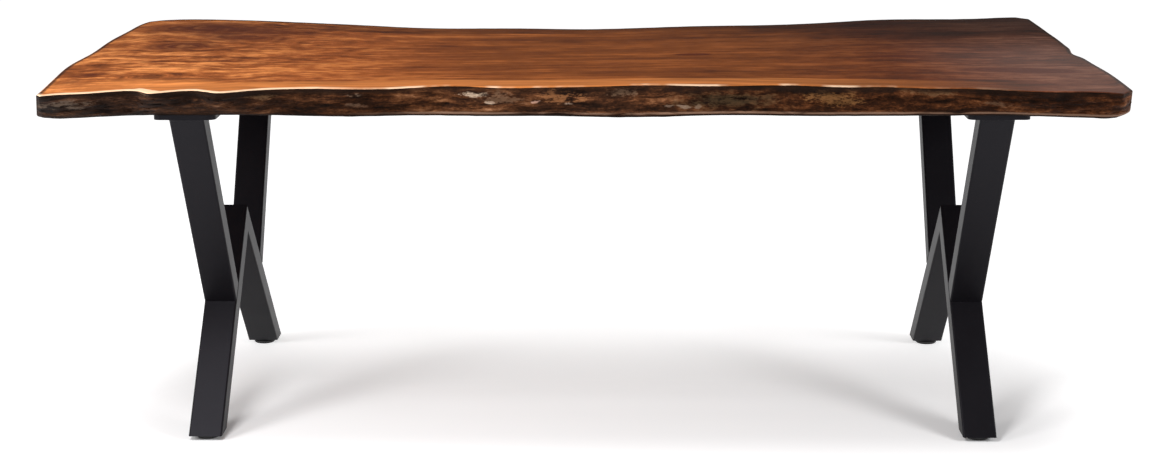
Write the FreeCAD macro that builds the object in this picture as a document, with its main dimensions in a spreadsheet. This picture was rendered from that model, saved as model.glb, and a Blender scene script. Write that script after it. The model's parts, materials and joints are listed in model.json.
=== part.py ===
"""Live edge dining table: one thick wood slab on two welded steel X frames with levelling feet.

Millimetres, +Z up, +X along the slab. The origin is on the floor under the middle of the slab's box.
"""
import FreeCAD, Part
import math
import os
import Sketcher

doc = FreeCAD.newDocument("LiveEdgeTable")

# Driving dimensions. Each size that can be set by itself is written once, here.
DIMENSIONS = [
    ("table_length", 2185.0),
    ("table_depth", 1256.0),
    ("table_height", 762.0),
    ("slab_thick", 60.0),
    ("edge_belly", 7.0),
    ("frame_spacing", 1617.0),
    ("frame_shift_x", 19.5),
    ("frame_shift_y", -13.5),
    ("foot_span", 812.0),
    ("kink_span", 352.0),
    ("arm_span", 915.0),
    ("apex_height", 420.0),
    ("floor_gap", 10.0),
    ("bar_width", 70.0),
    ("bar_depth", 45.0),
    ("bar_wall", 3.0),
    ("bar_round", 4.0),
    ("weld_leg", 6.0),
    ("plate_length", 957.0),
    ("plate_width", 124.0),
    ("plate_thick", 10.0),
    ("plate_round", 14.0),
    ("bolt_gauge", 80.0),
    ("bolt_pitch", 330.0),
    ("bolt_diameter", 8.0),
    ("bolt_length", 25.0),
    ("head_flats", 13.0),
    ("head_height", 5.3),
    ("hole_clearance", 1.0),
    ("slot_travel", 12.0),
    ("washer_diameter", 24.0),
    ("washer_thick", 2.0),
    ("washer_clearance", 0.4),
    ("insert_diameter", 12.0),
    ("insert_length", 18.0),
    ("insert_clearance", 0.1),
    ("insert_pocket", 22.0),
    ("thread_gap", 0.1),
    ("end_plate_thick", 5.0),
    ("end_plate_gap", 0.2),
    ("stud_diameter", 10.0),
    ("stud_reach", 22.0),
    ("stud_thread_gap", 0.1),
    ("stud_hole_gap", 1.0),
    ("nut_flats", 17.0),
    ("nut_height", 8.0),
    ("collar_flats", 16.0),
    ("collar_gap", 0.3),
    ("base_diameter", 50.0),
    ("base_thick", 5.0),
    ("base_bevel", 1.0),
    ("pivot_diameter", 8.0),
    ("pivot_depth", 4.0),
    ("pivot_gap", 0.1),
    ("pad_diameter", 46.0),
    ("pad_thick", 2.0),
    ("pad_bevel", 0.5),
]

sizes = doc.addObject("Spreadsheet::Sheet", "Sizes")
for row, (alias, value) in enumerate(DIMENSIONS, start=1):
    sizes.set(f"A{row}", alias)
    sizes.set(f"B{row}", str(value))
    sizes.setAlias(f"B{row}", alias)
doc.recompute()

# The slab's outline, drawn on a blank of this size and stretched to the table's length and depth.
DRAWN_LENGTH = 2185.0
DRAWN_DEPTH = 1256.0

# Front live edge, left to right: along, then out from the centre line at the top face and the bottom face.
FRONT_EDGE = [
    (-1003, 605, 536), (-950, 588, 518), (-862, 560, 498), (-836, 590, 496), (-790, 566, 496),
    (-745, 558, 496), (-702, 587, 495), (-655, 562, 496), (-600, 538, 500), (-520, 527, 511),
    (-430, 536, 513), (-350, 526, 503), (-235, 496, 506), (-190, 513, 510), (-80, 515, 508),
    (20, 504, 519), (130, 483, 522), (250, 497, 503), (340, 487, 501), (450, 494, 510),
    (524, 512, 510), (590, 509, 509), (690, 531, 505), (780, 537, 502), (850, 564, 504),
    (920, 577, 518), (975, 577, 529), (1012, 586, 535),
]
# Right sawn end, front to back: across, then out from the middle at the top face and the bottom face.
RIGHT_END = [
    (-423, 1076, 1080), (-325, 1078, 1080), (-160, 1075, 1076), (-90, 1072, 1073), (-56, 1066, 1072),
    (40, 1076, 1077), (100, 1079, 1078), (182, 1083, 1081), (312, 1086, 1083), (448, 1090, 1086),
    (545, 1092, 1088),
]
# Back live edge, right to left: along, then out at the top face and the bottom face.
BACK_EDGE = [
    (1027, 622, 592), (974, 604, 580), (872, 590, 562), (740, 585, 556), (660, 559, 534),
    (600, 530, 508), (520, 498, 474), (420, 473, 446), (300, 461, 430), (202, 441, 414),
    (80, 409, 386), (-14, 397, 372), (-110, 408, 380), (-230, 414, 388), (-340, 414, 386),
    (-425, 432, 402), (-499, 461, 432), (-601, 501, 474), (-704, 536, 506), (-808, 571, 542),
    (-912, 594, 562), (-1000, 599, 566),
]
# Left sawn end, back to front.
LEFT_END = [
    (500, 1088, 1086), (385, 1090, 1088), (193, 1092.3, 1090), (70, 1087, 1087), (-40, 1083, 1085),
    (-203, 1085, 1086), (-318, 1077, 1081), (-470, 1061, 1075),
]
# Corners, counter-clockwise from the front left: where one edge stops and the next starts,
# each as the point at the top face and the point at the bottom face.
CORNERS = [
    (((-1047, -612), (-1071, -512)), ((-1036, -628), (-1056, -529))),
    (((1040, -606), (1047, -530)), ((1070, -556), (1081, -480))),
    (((1092.5, 590), (1086, 570)), ((1066, 628), (1060, 598))),
    (((-1058, 577), (-1056, 545)), ((-1080, 552), (-1078, 530))),
]

# Shared formulas of the leg frame, in the frame's own plane: out from its centre line, and up.
FOOT_HALF = "(Sizes.foot_span / 2)"
KINK_HALF = "(Sizes.kink_span / 2)"
ARM_HALF = "(Sizes.arm_span / 2)"
PLATE_UNDER = "(Sizes.table_height - Sizes.slab_thick - Sizes.plate_thick)"
SLAB_UNDER = "(Sizes.table_height - Sizes.slab_thick)"
# Rise of a lower bar per millimetre along, and its depth measured level and upright.
RISE = f"((Sizes.apex_height - Sizes.floor_gap) / {FOOT_HALF})"
BAR_UPRIGHT = f"(Sizes.bar_depth * sqrt(1 + {RISE} ^ 2))"
BAR_LEVEL = f"({BAR_UPRIGHT} / {RISE})"
WALL_UPRIGHT = f"(Sizes.bar_wall * sqrt(1 + {RISE} ^ 2))"
WALL_LEVEL = f"({WALL_UPRIGHT} / {RISE})"
KINK_UP = f"(Sizes.floor_gap + ({FOOT_HALF} - {KINK_HALF}) * {RISE})"
# How far an upper arm leans out per millimetre up, and its depth measured level.
LEAN = f"(({ARM_HALF} - {KINK_HALF}) / ({PLATE_UNDER} - {KINK_UP}))"
ARM_LEVEL = f"(Sizes.bar_depth * sqrt(1 + {LEAN} ^ 2))"
ARM_WALL_LEVEL = f"(Sizes.bar_wall * sqrt(1 + {LEAN} ^ 2))"
# The crook, where an arm's inner face meets the top of the lower bar.
CROOK_OUT = (f"(({KINK_HALF} + {LEAN} * (Sizes.apex_height - {KINK_UP}) - {ARM_LEVEL})"
             f" / (1 + {LEAN} * {RISE}))")
CROOK_UP = f"(Sizes.apex_height - {RISE} * {CROOK_OUT})"
# The levelling stud stands in the middle of the tube's hollow at the end plate's upper face.
STUD_OUT = f"({FOOT_HALF} - {BAR_LEVEL} / 2 - Sizes.end_plate_thick / {RISE})"
END_PLATE_TOP = "(Sizes.floor_gap + Sizes.end_plate_thick)"
BASE_TOP = "(Sizes.pad_thick + Sizes.base_thick)"

SIDES = {"left": "-1", "right": "1"}
ENDS = {"front": "-1", "rear": "1"}
OVERSHOOT = 20.0
parts = []


def value(formula):
    """The number that a formula on the sheet's aliases gives."""
    return float(sizes.evalExpression(formula))


def new_body(label):
    """A body whose label names its file. It may hold several separate solids."""
    body = doc.addObject("PartDesign::Body", label)
    body.Label = label
    body.AllowCompound = True
    parts.append(body)
    return body


def stand_in_frame(part, side, end=None):
    """Place a sub-part in the left or right leg frame, or at the stud axis of one of its feet."""
    part.setExpression("Placement.Base.x",
                       f"Sizes.frame_shift_x + {SIDES[side]} * Sizes.frame_spacing / 2")
    if end is None:
        part.setExpression("Placement.Base.y", "Sizes.frame_shift_y")
    else:
        part.setExpression("Placement.Base.y", f"Sizes.frame_shift_y + {ENDS[end]} * {STUD_OUT}")


def origin_plane(body, role):
    """The body's own origin plane with this role."""
    return next(plane for plane in body.Origin.OriginFeatures if plane.Role == role)


def new_sketch(body, name, role, lift=None):
    """A sketch on one of the body's origin planes, lifted along its normal by a formula."""
    sketch = body.newObject("Sketcher::SketchObject", name)
    sketch.AttachmentSupport = [(origin_plane(body, role), "")]
    sketch.MapMode = "FlatFace"
    if lift is not None:
        sketch.setExpression("AttachmentOffset.Base.z", lift)
    return sketch


def bind(sketch, kind, first, second, formula):
    """Set a dimension between two points, or on one circle, to a formula."""
    number = value(formula)
    if second is None:
        index = sketch.addConstraint(Sketcher.Constraint(kind, first, number))
    else:
        index = sketch.addConstraint(Sketcher.Constraint(kind, *first, *second, number))
    sketch.setExpression(f"Constraints[{index}]", formula)


SKETCH_ORIGIN = (-1, 1)


def add_polygon(sketch, corners):
    """A closed polygon, each corner given as two formulas from the sketch's origin."""
    points = [FreeCAD.Vector(value(across), value(up), 0) for across, up in corners]
    first = sketch.GeometryCount
    count = len(points)
    for i in range(count):
        sketch.addGeometry(Part.LineSegment(points[i], points[(i + 1) % count]))
    for i in range(count):
        sketch.addConstraint(Sketcher.Constraint("Coincident", first + i, 2, first + (i + 1) % count, 1))
    for i, (across, up) in enumerate(corners):
        bind(sketch, "DistanceX", SKETCH_ORIGIN, (first + i, 1), across)
        bind(sketch, "DistanceY", SKETCH_ORIGIN, (first + i, 1), up)


def add_circle(sketch, diameter, across="0", up="0"):
    """A circle, its diameter and centre given as formulas."""
    centre = FreeCAD.Vector(value(across), value(up), 0)
    circle = sketch.addGeometry(Part.Circle(centre, FreeCAD.Vector(0, 0, 1), value(diameter) / 2))
    bind(sketch, "Diameter", circle, None, diameter)
    bind(sketch, "DistanceX", SKETCH_ORIGIN, (circle, 3), across)
    bind(sketch, "DistanceY", SKETCH_ORIGIN, (circle, 3), up)


def hexagon(flats, across="0", up="0"):
    """The corners of a hexagon of this size across its flats, as formulas."""
    corners = []
    for i in range(6):
        angle = 60 * i
        corners.append((f"{across} + {flats} / sqrt(3) * cos({angle})", f"{up} + {flats} / sqrt(3) * sin({angle})"))
    return corners


def pad(body, sketch, length, midplane=False, reverse=False):
    """Pad a sketch by a formula."""
    feature = body.newObject("PartDesign::Pad", "Pad")
    feature.Profile = sketch
    feature.setExpression("Length", length)
    feature.Midplane = midplane
    feature.Reversed = reverse
    return feature


def pocket(body, sketch, length, midplane=False, reverse=False):
    """Pocket a sketch by a formula, and check that it took material away."""
    before = body.Tip
    doc.recompute()
    volume_before = before.Shape.Volume
    feature = body.newObject("PartDesign::Pocket", "Pocket")
    feature.Profile = sketch
    feature.setExpression("Length", length)
    feature.Midplane = midplane
    feature.Reversed = reverse
    doc.recompute()
    if not feature.Shape.Volume < volume_before - 1.0:
        raise RuntimeError(f"{body.Label}: the pocket cut nothing")
    return feature


def turned(label, profile):
    """A body of revolution about +Z, from a polygon of radius and height formulas."""
    body = new_body(label)
    sketch = new_sketch(body, "TurnedProfile", "XZ_Plane")
    add_polygon(sketch, profile)
    feature = body.newObject("PartDesign::Revolution", "Revolution")
    feature.Profile = sketch
    feature.ReferenceAxis = (sketch, ["V_Axis"])
    feature.Angle = 360
    return body


def mirrored(end, corners):
    """The same polygon at the front or the rear of a leg frame."""
    return [(f"{ENDS[end]} * {out}", up) for out, up in corners]


# The slab

def outline_point(point):
    """A drawn outline point, stretched to the table's length and depth."""
    along = point[0] * value("Sizes.table_length") / DRAWN_LENGTH
    across = point[1] * value("Sizes.table_depth") / DRAWN_DEPTH
    return FreeCAD.Vector(along, across, 0)


def level_mix(top, bottom, level):
    """Between the bottom face (level 0) and the top face (level 1)."""
    return bottom + (top - bottom) * level


def smooth_spans(points):
    """One smooth curve through the points, as a chain with a span between each two of them."""
    curve = Part.BSplineCurve()
    curve.interpolate([outline_point(point) for point in points])
    knots = curve.getKnots()
    spans = []
    for start, stop in zip(knots, knots[1:]):
        span = curve.copy()
        span.segment(start, stop)
        spans.append(span)
    return spans


def outline_edges(level):
    """The slab's outline at one level: four smooth edges, with a short straight corner after each."""
    belly = 4 * level * (1 - level) * value("Sizes.edge_belly")

    def station(axis, sign, along, top, bottom):
        out = sign * (level_mix(top, bottom, level) + (belly if axis == "y" else 0))
        return (along, out) if axis == "y" else (out, along)

    def corner(pair):
        top, bottom = pair
        return (level_mix(top[0], bottom[0], level), level_mix(top[1], bottom[1], level))

    sides = [
        [station("y", -1, *row) for row in FRONT_EDGE],
        [station("x", 1, *row) for row in RIGHT_END],
        [station("y", 1, *row) for row in BACK_EDGE],
        [station("x", -1, *row) for row in LEFT_END],
    ]
    edges = []
    for i, side in enumerate(sides):
        start = corner(CORNERS[i][1])
        stop = corner(CORNERS[(i + 1) % 4][0])
        following = corner(CORNERS[(i + 1) % 4][1])
        edges.extend(smooth_spans([start] + side + [stop]))
        edges.append(Part.LineSegment(outline_point(stop), outline_point(following)))
    return edges


def bolt_places():
    """Where the bolts stand in a leg frame: formulas across and along, and whether the hole is a slot."""
    places = []
    for row in (-1, 0, 1):
        for column in (-1, 1):
            places.append((f"{column} * Sizes.bolt_gauge / 2", f"{row} * Sizes.bolt_pitch", row != 0))
    return places


def tabletop_slab():
    """The slab, lofted through its bottom, middle and top outlines, with blind holes for the inserts."""
    body = new_body("tabletop_slab")
    sections = []
    for level in (0.0, 0.5, 1.0):
        lift = f"{SLAB_UNDER} + {level} * Sizes.slab_thick"
        sketch = new_sketch(body, "SlabOutline", "XY_Plane", lift)
        for edge in outline_edges(level):
            sketch.addGeometry(edge)
        sections.append(sketch)
    loft = body.newObject("PartDesign::AdditiveLoft", "SlabLoft")
    loft.Profile = sections[0]
    loft.Sections = sections[1:]
    loft.Ruled = False
    doc.recompute()
    holes = new_sketch(body, "InsertHoles", "XY_Plane", SLAB_UNDER)
    for sign in SIDES.values():
        for across, along, _ in bolt_places():
            add_circle(holes, "Sizes.insert_diameter + Sizes.insert_clearance",
                       f"Sizes.frame_shift_x + {sign} * Sizes.frame_spacing / 2 + {across}",
                       f"Sizes.frame_shift_y + {along}")
    pocket(body, holes, "Sizes.insert_pocket", reverse=True)


# What fastens a leg frame to the slab

def threaded_inserts(side):
    """Threaded inserts, flush with the slab's underside."""
    body = new_body(f"threaded_inserts_{side}")
    sketch = new_sketch(body, "Inserts", "XY_Plane", SLAB_UNDER)
    for across, along, _ in bolt_places():
        add_circle(sketch, "Sizes.insert_diameter", across, along)
        add_circle(sketch, "Sizes.bolt_diameter + Sizes.thread_gap", across, along)
    pad(body, sketch, "Sizes.insert_length")
    stand_in_frame(body, side)


def plate_washers(side):
    """Wide washers that cover the plate's slots."""
    body = new_body(f"plate_washers_{side}")
    sketch = new_sketch(body, "Washers", "XY_Plane", PLATE_UNDER)
    for across, along, _ in bolt_places():
        add_circle(sketch, "Sizes.washer_diameter", across, along)
        add_circle(sketch, "Sizes.bolt_diameter + Sizes.washer_clearance", across, along)
    pad(body, sketch, "Sizes.washer_thick", reverse=True)
    stand_in_frame(body, side)


def plate_bolts(side):
    """Hexagon bolts up through washers and plate into the inserts."""
    body = new_body(f"plate_bolts_{side}")
    seat = f"{PLATE_UNDER} - Sizes.washer_thick"
    heads = new_sketch(body, "Heads", "XY_Plane", seat)
    for across, along, _ in bolt_places():
        add_polygon(heads, hexagon("Sizes.head_flats", across, along))
    pad(body, heads, "Sizes.head_height", reverse=True)
    shanks = new_sketch(body, "Shanks", "XY_Plane", seat)
    for across, along, _ in bolt_places():
        add_circle(shanks, "Sizes.bolt_diameter", across, along)
    pad(body, shanks, "Sizes.bolt_length")
    stand_in_frame(body, side)


def top_plate(side):
    """Flat mounting plate with round corners, round middle holes and slots along Y at its ends."""
    body = new_body(f"top_plate_{side}")
    outline = new_sketch(body, "PlateOutline", "XY_Plane", PLATE_UNDER)
    add_polygon(outline, [(f"{x} * Sizes.plate_width / 2", f"{y} * Sizes.plate_length / 2")
                          for x, y in ((-1, -1), (1, -1), (1, 1), (-1, 1))])
    blank = pad(body, outline, "Sizes.plate_thick")
    doc.recompute()
    upright = [f"Edge{i}" for i, edge in enumerate(blank.Shape.Edges, start=1)
               if abs(edge.tangentAt(edge.FirstParameter).z) > 0.99]
    rounding = body.newObject("PartDesign::Fillet", "RoundCorners")
    rounding.Base = (blank, upright)
    rounding.setExpression("Radius", "Sizes.plate_round")
    doc.recompute()
    holes = new_sketch(body, "BoltHoles", "XY_Plane", PLATE_UNDER)
    diameter = "(Sizes.bolt_diameter + Sizes.hole_clearance)"
    for across, along, slotted in bolt_places():
        if slotted:
            add_slot(holes, diameter, across, along, "Sizes.slot_travel")
        else:
            add_circle(holes, diameter, across, along)
    pocket(body, holes, "Sizes.plate_thick", reverse=True)
    stand_in_frame(body, side)


def add_slot(sketch, width, across, along, travel):
    """A round-ended slot along the sketch's second axis."""
    x = value(across)
    y = value(along)
    radius = value(width) / 2
    half = value(travel) / 2
    upward = FreeCAD.Vector(0, 0, 1)
    low = Part.Circle(FreeCAD.Vector(x, y - half, 0), upward, radius)
    high = Part.Circle(FreeCAD.Vector(x, y + half, 0), upward, radius)
    first = sketch.addGeometry(Part.ArcOfCircle(low, math.pi, 2 * math.pi))
    sketch.addGeometry(Part.LineSegment(FreeCAD.Vector(x + radius, y - half, 0),
                                        FreeCAD.Vector(x + radius, y + half, 0)))
    sketch.addGeometry(Part.ArcOfCircle(high, 0, math.pi))
    sketch.addGeometry(Part.LineSegment(FreeCAD.Vector(x - radius, y + half, 0),
                                        FreeCAD.Vector(x - radius, y - half, 0)))
    for i in range(4):
        following = first + (i + 1) % 4
        sketch.addConstraint(Sketcher.Constraint("Tangent", first + i, 2, following, 1))
    sketch.addConstraint(Sketcher.Constraint("Vertical", first + 1))
    bind(sketch, "Diameter", first, None, width)
    bind(sketch, "DistanceX", SKETCH_ORIGIN, (first, 3), across)
    bind(sketch, "DistanceY", SKETCH_ORIGIN, (first, 3), f"{along} - {travel} / 2")
    bind(sketch, "DistanceY", SKETCH_ORIGIN, (first + 2, 3), f"{along} + {travel} / 2")


# The leg frames

def tube(label, side, end, outline, hollow):
    """A rectangular tube: its side profile padded across the frame, long edges rounded, then bored."""
    body = new_body(label)
    profile = new_sketch(body, "TubeProfile", "YZ_Plane")
    add_polygon(profile, mirrored(end, outline))
    blank = pad(body, profile, "Sizes.bar_width", midplane=True)
    doc.recompute()
    long_edges = []
    for i, edge in enumerate(blank.Shape.Edges, start=1):
        direction = edge.tangentAt(edge.FirstParameter)
        if min(abs(direction.y), abs(direction.z)) > 0.1:
            long_edges.append(f"Edge{i}")
    rounding = body.newObject("PartDesign::Fillet", "RoundLongEdges")
    rounding.Base = (blank, long_edges)
    rounding.setExpression("Radius", "Sizes.bar_round")
    doc.recompute()
    inside = new_sketch(body, "Hollow", "YZ_Plane")
    add_polygon(inside, mirrored(end, hollow))
    pocket(body, inside, "Sizes.bar_width - 2 * Sizes.bar_wall", midplane=True)
    stand_in_frame(body, side)


def lower_bar(side, end):
    """From the foot up to the mitre at the apex, cut level at the foot."""
    outline = [
        (FOOT_HALF, "Sizes.floor_gap"),
        ("0", "Sizes.apex_height"),
        ("0", f"Sizes.apex_height - {BAR_UPRIGHT}"),
        (f"({FOOT_HALF} - {BAR_LEVEL})", "Sizes.floor_gap"),
    ]
    tip_out = f"-{OVERSHOOT}"
    toe_out = f"({FOOT_HALF} + {OVERSHOOT})"
    ceiling = f"Sizes.apex_height - {WALL_UPRIGHT}"
    floor = f"Sizes.apex_height - {BAR_UPRIGHT} + {WALL_UPRIGHT}"
    hollow = [(out, f"{line} - {RISE} * {out}")
              for out, line in ((toe_out, ceiling), (tip_out, ceiling), (tip_out, floor), (toe_out, floor))]
    tube(f"lower_bar_{side}_{end}", side, end, outline, hollow)


def upper_arm(side, end):
    """From the outer face of the lower bar, out and up to the plate."""
    outline = [
        (KINK_HALF, KINK_UP),
        (ARM_HALF, PLATE_UNDER),
        (f"({ARM_HALF} - {ARM_LEVEL})", PLATE_UNDER),
        (CROOK_OUT, CROOK_UP),
    ]
    high = f"({PLATE_UNDER} + {OVERSHOOT})"
    low = f"({KINK_UP} - {OVERSHOOT})"
    outer = f"{ARM_WALL_LEVEL}"
    inner = f"({ARM_LEVEL} - {ARM_WALL_LEVEL})"
    hollow = [(f"({KINK_HALF} + {LEAN} * ({up} - {KINK_UP}) - {inset})", up)
              for up, inset in ((low, outer), (high, outer), (high, inner), (low, inner))]
    tube(f"upper_arm_{side}_{end}", side, end, outline, hollow)


def weld_beads(side):
    """Fillet welds in front of and behind each arm under the plate, and in each crook."""
    body = new_body(f"weld_beads_{side}")
    sketch = new_sketch(body, "Beads", "YZ_Plane")
    foot_of_bead = f"({PLATE_UNDER} - Sizes.weld_leg)"
    for end in ENDS:
        for toe, sign in ((ARM_HALF, "+"), (f"({ARM_HALF} - {ARM_LEVEL})", "-")):
            add_polygon(sketch, mirrored(end, [
                (toe, PLATE_UNDER),
                (f"({toe} {sign} Sizes.weld_leg)", PLATE_UNDER),
                (f"({toe} - {LEAN} * Sizes.weld_leg)", foot_of_bead),
            ]))
        add_polygon(sketch, mirrored(end, [
            (CROOK_OUT, CROOK_UP),
            (f"({CROOK_OUT} + {LEAN} * Sizes.weld_leg)", f"({CROOK_UP} + Sizes.weld_leg)"),
            (f"({CROOK_OUT} - Sizes.weld_leg)", f"({CROOK_UP} + {RISE} * Sizes.weld_leg)"),
        ]))
    pad(body, sketch, "Sizes.bar_width - 2 * Sizes.bar_round", midplane=True)
    stand_in_frame(body, side)


def foot_end_plate(side, end):
    """The plate inside the tube's lower end, with the stud's clearance hole."""
    body = new_body(f"foot_end_plate_{side}_{end}")
    profile = new_sketch(body, "PlateProfile", "YZ_Plane")
    outer = f"({FOOT_HALF} - {WALL_LEVEL} - Sizes.end_plate_gap)"
    inner = f"({FOOT_HALF} - {BAR_LEVEL} + {WALL_LEVEL} + Sizes.end_plate_gap)"
    shear = f"Sizes.end_plate_thick / {RISE}"
    add_polygon(profile, mirrored(end, [
        (outer, "Sizes.floor_gap"),
        (f"({outer} - {shear})", END_PLATE_TOP),
        (f"({inner} - {shear})", END_PLATE_TOP),
        (inner, "Sizes.floor_gap"),
    ]))
    pad(body, profile, "Sizes.bar_width - 2 * Sizes.bar_wall - 2 * Sizes.end_plate_gap", midplane=True)
    hole = new_sketch(body, "StudHole", "XY_Plane", "Sizes.floor_gap")
    add_circle(hole, "Sizes.stud_diameter + Sizes.stud_hole_gap", "0", f"{ENDS[end]} * {STUD_OUT}")
    pocket(body, hole, "Sizes.end_plate_thick", reverse=True)
    stand_in_frame(body, side)


def foot_nut(side, end):
    """The hexagon nut welded on the end plate, inside the tube."""
    body = new_body(f"foot_nut_{side}_{end}")
    sketch = new_sketch(body, "Nut", "XY_Plane", END_PLATE_TOP)
    add_polygon(sketch, hexagon("Sizes.nut_flats"))
    add_circle(sketch, "Sizes.stud_diameter + Sizes.stud_thread_gap")
    pad(body, sketch, "Sizes.nut_height")
    stand_in_frame(body, side, end)


# The levelling feet, each about its own stud axis

def foot_stud(side, end):
    """Pivot, hexagon collar and threaded shank in one piece."""
    body = new_body(f"foot_stud_{side}_{end}")
    pivot = new_sketch(body, "Pivot", "XY_Plane", f"{BASE_TOP} - Sizes.pivot_depth + Sizes.collar_gap")
    add_circle(pivot, "Sizes.pivot_diameter")
    pad(body, pivot, "Sizes.pivot_depth")
    collar = new_sketch(body, "Collar", "XY_Plane", f"{BASE_TOP} + Sizes.collar_gap")
    add_polygon(collar, hexagon("Sizes.collar_flats"))
    pad(body, collar, f"Sizes.floor_gap - {BASE_TOP} - 2 * Sizes.collar_gap")
    shank = new_sketch(body, "Shank", "XY_Plane", "Sizes.floor_gap - Sizes.collar_gap")
    add_circle(shank, "Sizes.stud_diameter")
    pad(body, shank, "Sizes.stud_reach + Sizes.collar_gap")
    stand_in_frame(body, side, end)


def foot_base(side, end):
    """The round disc, with a blind bore that the stud turns in."""
    radius = "Sizes.base_diameter / 2"
    bore = "(Sizes.pivot_diameter + Sizes.pivot_gap) / 2"
    body = turned(f"foot_base_{side}_{end}", [
        ("0", "Sizes.pad_thick"),
        (radius, "Sizes.pad_thick"),
        (radius, f"{BASE_TOP} - Sizes.base_bevel"),
        (f"{radius} - Sizes.base_bevel", BASE_TOP),
        (bore, BASE_TOP),
        (bore, f"{BASE_TOP} - Sizes.pivot_depth"),
        ("0", f"{BASE_TOP} - Sizes.pivot_depth"),
    ])
    stand_in_frame(body, side, end)


def foot_pad(side, end):
    """The pad under the disc, with its lower edge bevelled."""
    radius = "Sizes.pad_diameter / 2"
    body = turned(f"foot_pad_{side}_{end}", [
        ("0", "0"),
        (f"{radius} - Sizes.pad_bevel", "0"),
        (radius, "Sizes.pad_bevel"),
        (radius, "Sizes.pad_thick"),
        ("0", "Sizes.pad_thick"),
    ])
    stand_in_frame(body, side, end)


def build():
    """Build every sub-part."""
    tabletop_slab()
    for side in SIDES:
        threaded_inserts(side)
        top_plate(side)
        plate_washers(side)
        plate_bolts(side)
        weld_beads(side)
        for end in ENDS:
            upper_arm(side, end)
            lower_bar(side, end)
            foot_end_plate(side, end)
            foot_nut(side, end)
            foot_stud(side, end)
            foot_base(side, end)
            foot_pad(side, end)
    doc.recompute()


def check():
    """Stop on any object that failed and on any sub-part without a valid shape."""
    for item in doc.Objects:
        if "Invalid" in item.State or "Error" in item.State:
            raise RuntimeError(f"{item.Label} failed to recompute: {item.State}")
    for part in parts:
        if part.Shape.isNull() or not part.Shape.isValid() or not part.Shape.Solids:
            raise RuntimeError(f"{part.Label} has no valid solid")


def export():
    """Write one STEP file for each sub-part."""
    os.makedirs("parts", exist_ok=True)
    for part in parts:
        part.Shape.exportStep(f"parts/{part.Label}.step")
        print(f"{part.Label}: {len(part.Shape.Solids)} solids, {part.Shape.Volume / 1000:.1f} cm3")
    box = Part.makeCompound([part.Shape for part in parts]).BoundBox
    print(f"X {box.XMin:.2f} {box.XMax:.2f}  Y {box.YMin:.2f} {box.YMax:.2f}  Z {box.ZMin:.2f} {box.ZMax:.2f}")


build()
check()
export()
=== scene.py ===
"""Looks of a live edge dining table, built round the packed model of its construction."""

import json
import math
from bisect import bisect_right

import bmesh
import bpy
from bpy.props import FloatProperty, FloatVectorProperty, IntProperty, PointerProperty
from mathutils import Matrix, Vector, noise


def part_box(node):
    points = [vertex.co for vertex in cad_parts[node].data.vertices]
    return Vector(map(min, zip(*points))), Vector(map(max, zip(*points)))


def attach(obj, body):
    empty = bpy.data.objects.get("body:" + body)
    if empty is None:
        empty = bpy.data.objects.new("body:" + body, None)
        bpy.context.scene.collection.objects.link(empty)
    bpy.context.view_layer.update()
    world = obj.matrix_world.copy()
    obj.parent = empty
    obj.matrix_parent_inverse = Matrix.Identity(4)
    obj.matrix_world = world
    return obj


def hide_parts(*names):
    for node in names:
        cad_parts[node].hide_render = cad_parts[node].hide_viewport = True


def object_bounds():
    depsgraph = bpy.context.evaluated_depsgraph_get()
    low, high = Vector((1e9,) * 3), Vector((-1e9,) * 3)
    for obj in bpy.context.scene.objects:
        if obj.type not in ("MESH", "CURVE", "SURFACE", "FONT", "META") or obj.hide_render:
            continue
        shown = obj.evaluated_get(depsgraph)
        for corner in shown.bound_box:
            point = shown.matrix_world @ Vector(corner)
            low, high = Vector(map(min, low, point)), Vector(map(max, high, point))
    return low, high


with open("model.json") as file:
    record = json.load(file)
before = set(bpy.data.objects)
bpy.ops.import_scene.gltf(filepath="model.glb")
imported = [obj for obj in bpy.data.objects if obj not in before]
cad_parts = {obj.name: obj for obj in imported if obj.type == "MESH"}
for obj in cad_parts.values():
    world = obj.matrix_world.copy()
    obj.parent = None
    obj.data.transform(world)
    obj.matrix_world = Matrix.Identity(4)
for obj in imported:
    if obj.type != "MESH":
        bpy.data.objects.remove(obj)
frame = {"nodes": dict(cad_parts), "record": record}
CAD_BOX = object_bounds()

bl_info = {
    "name": "Live edge dining table",
    "version": (1, 0, 0),
    "blender": (4, 5, 0),
    "location": "3D View > Sidebar > Table",
    "description": "Builds the looks of a live edge dining table on steel leg frames",
    "category": "Object",
}

SIDES = ("left", "right")
ENDS = ("front", "rear")
SLAB = "tabletop_slab"
SLAB_LOW, SLAB_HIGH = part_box(SLAB)
SLAB_THICK = SLAB_HIGH.z - SLAB_LOW.z
SLAB_LENGTH = SLAB_HIGH.x - SLAB_LOW.x

# Depth that the wood's grain is laid out over, as if the live edges were straight
NOMINAL_DEPTH = 1.1

# Points nearer to each other than this are one
MERGE = 0.00001

# Mesh rows round the slab's eased top edge and round its lower one
EASED_ROWS = 4
ROUNDED_ROWS = 3

# Softboxes: name, setting that holds the power, side, place and the point each one faces
SOFTBOXES = (
    ("key", "key_power", 1.0, (-1.3, -2.1, 2.8), (-0.7, -0.2, 0.4)),
    ("left", "side_power", 1.1, (-2.9, -1.9, 1.5), (-0.8, -0.3, 0.2)),
    ("right", "side_power", 1.1, (2.9, -1.9, 1.5), (0.8, -0.3, 0.2)),
)

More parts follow.
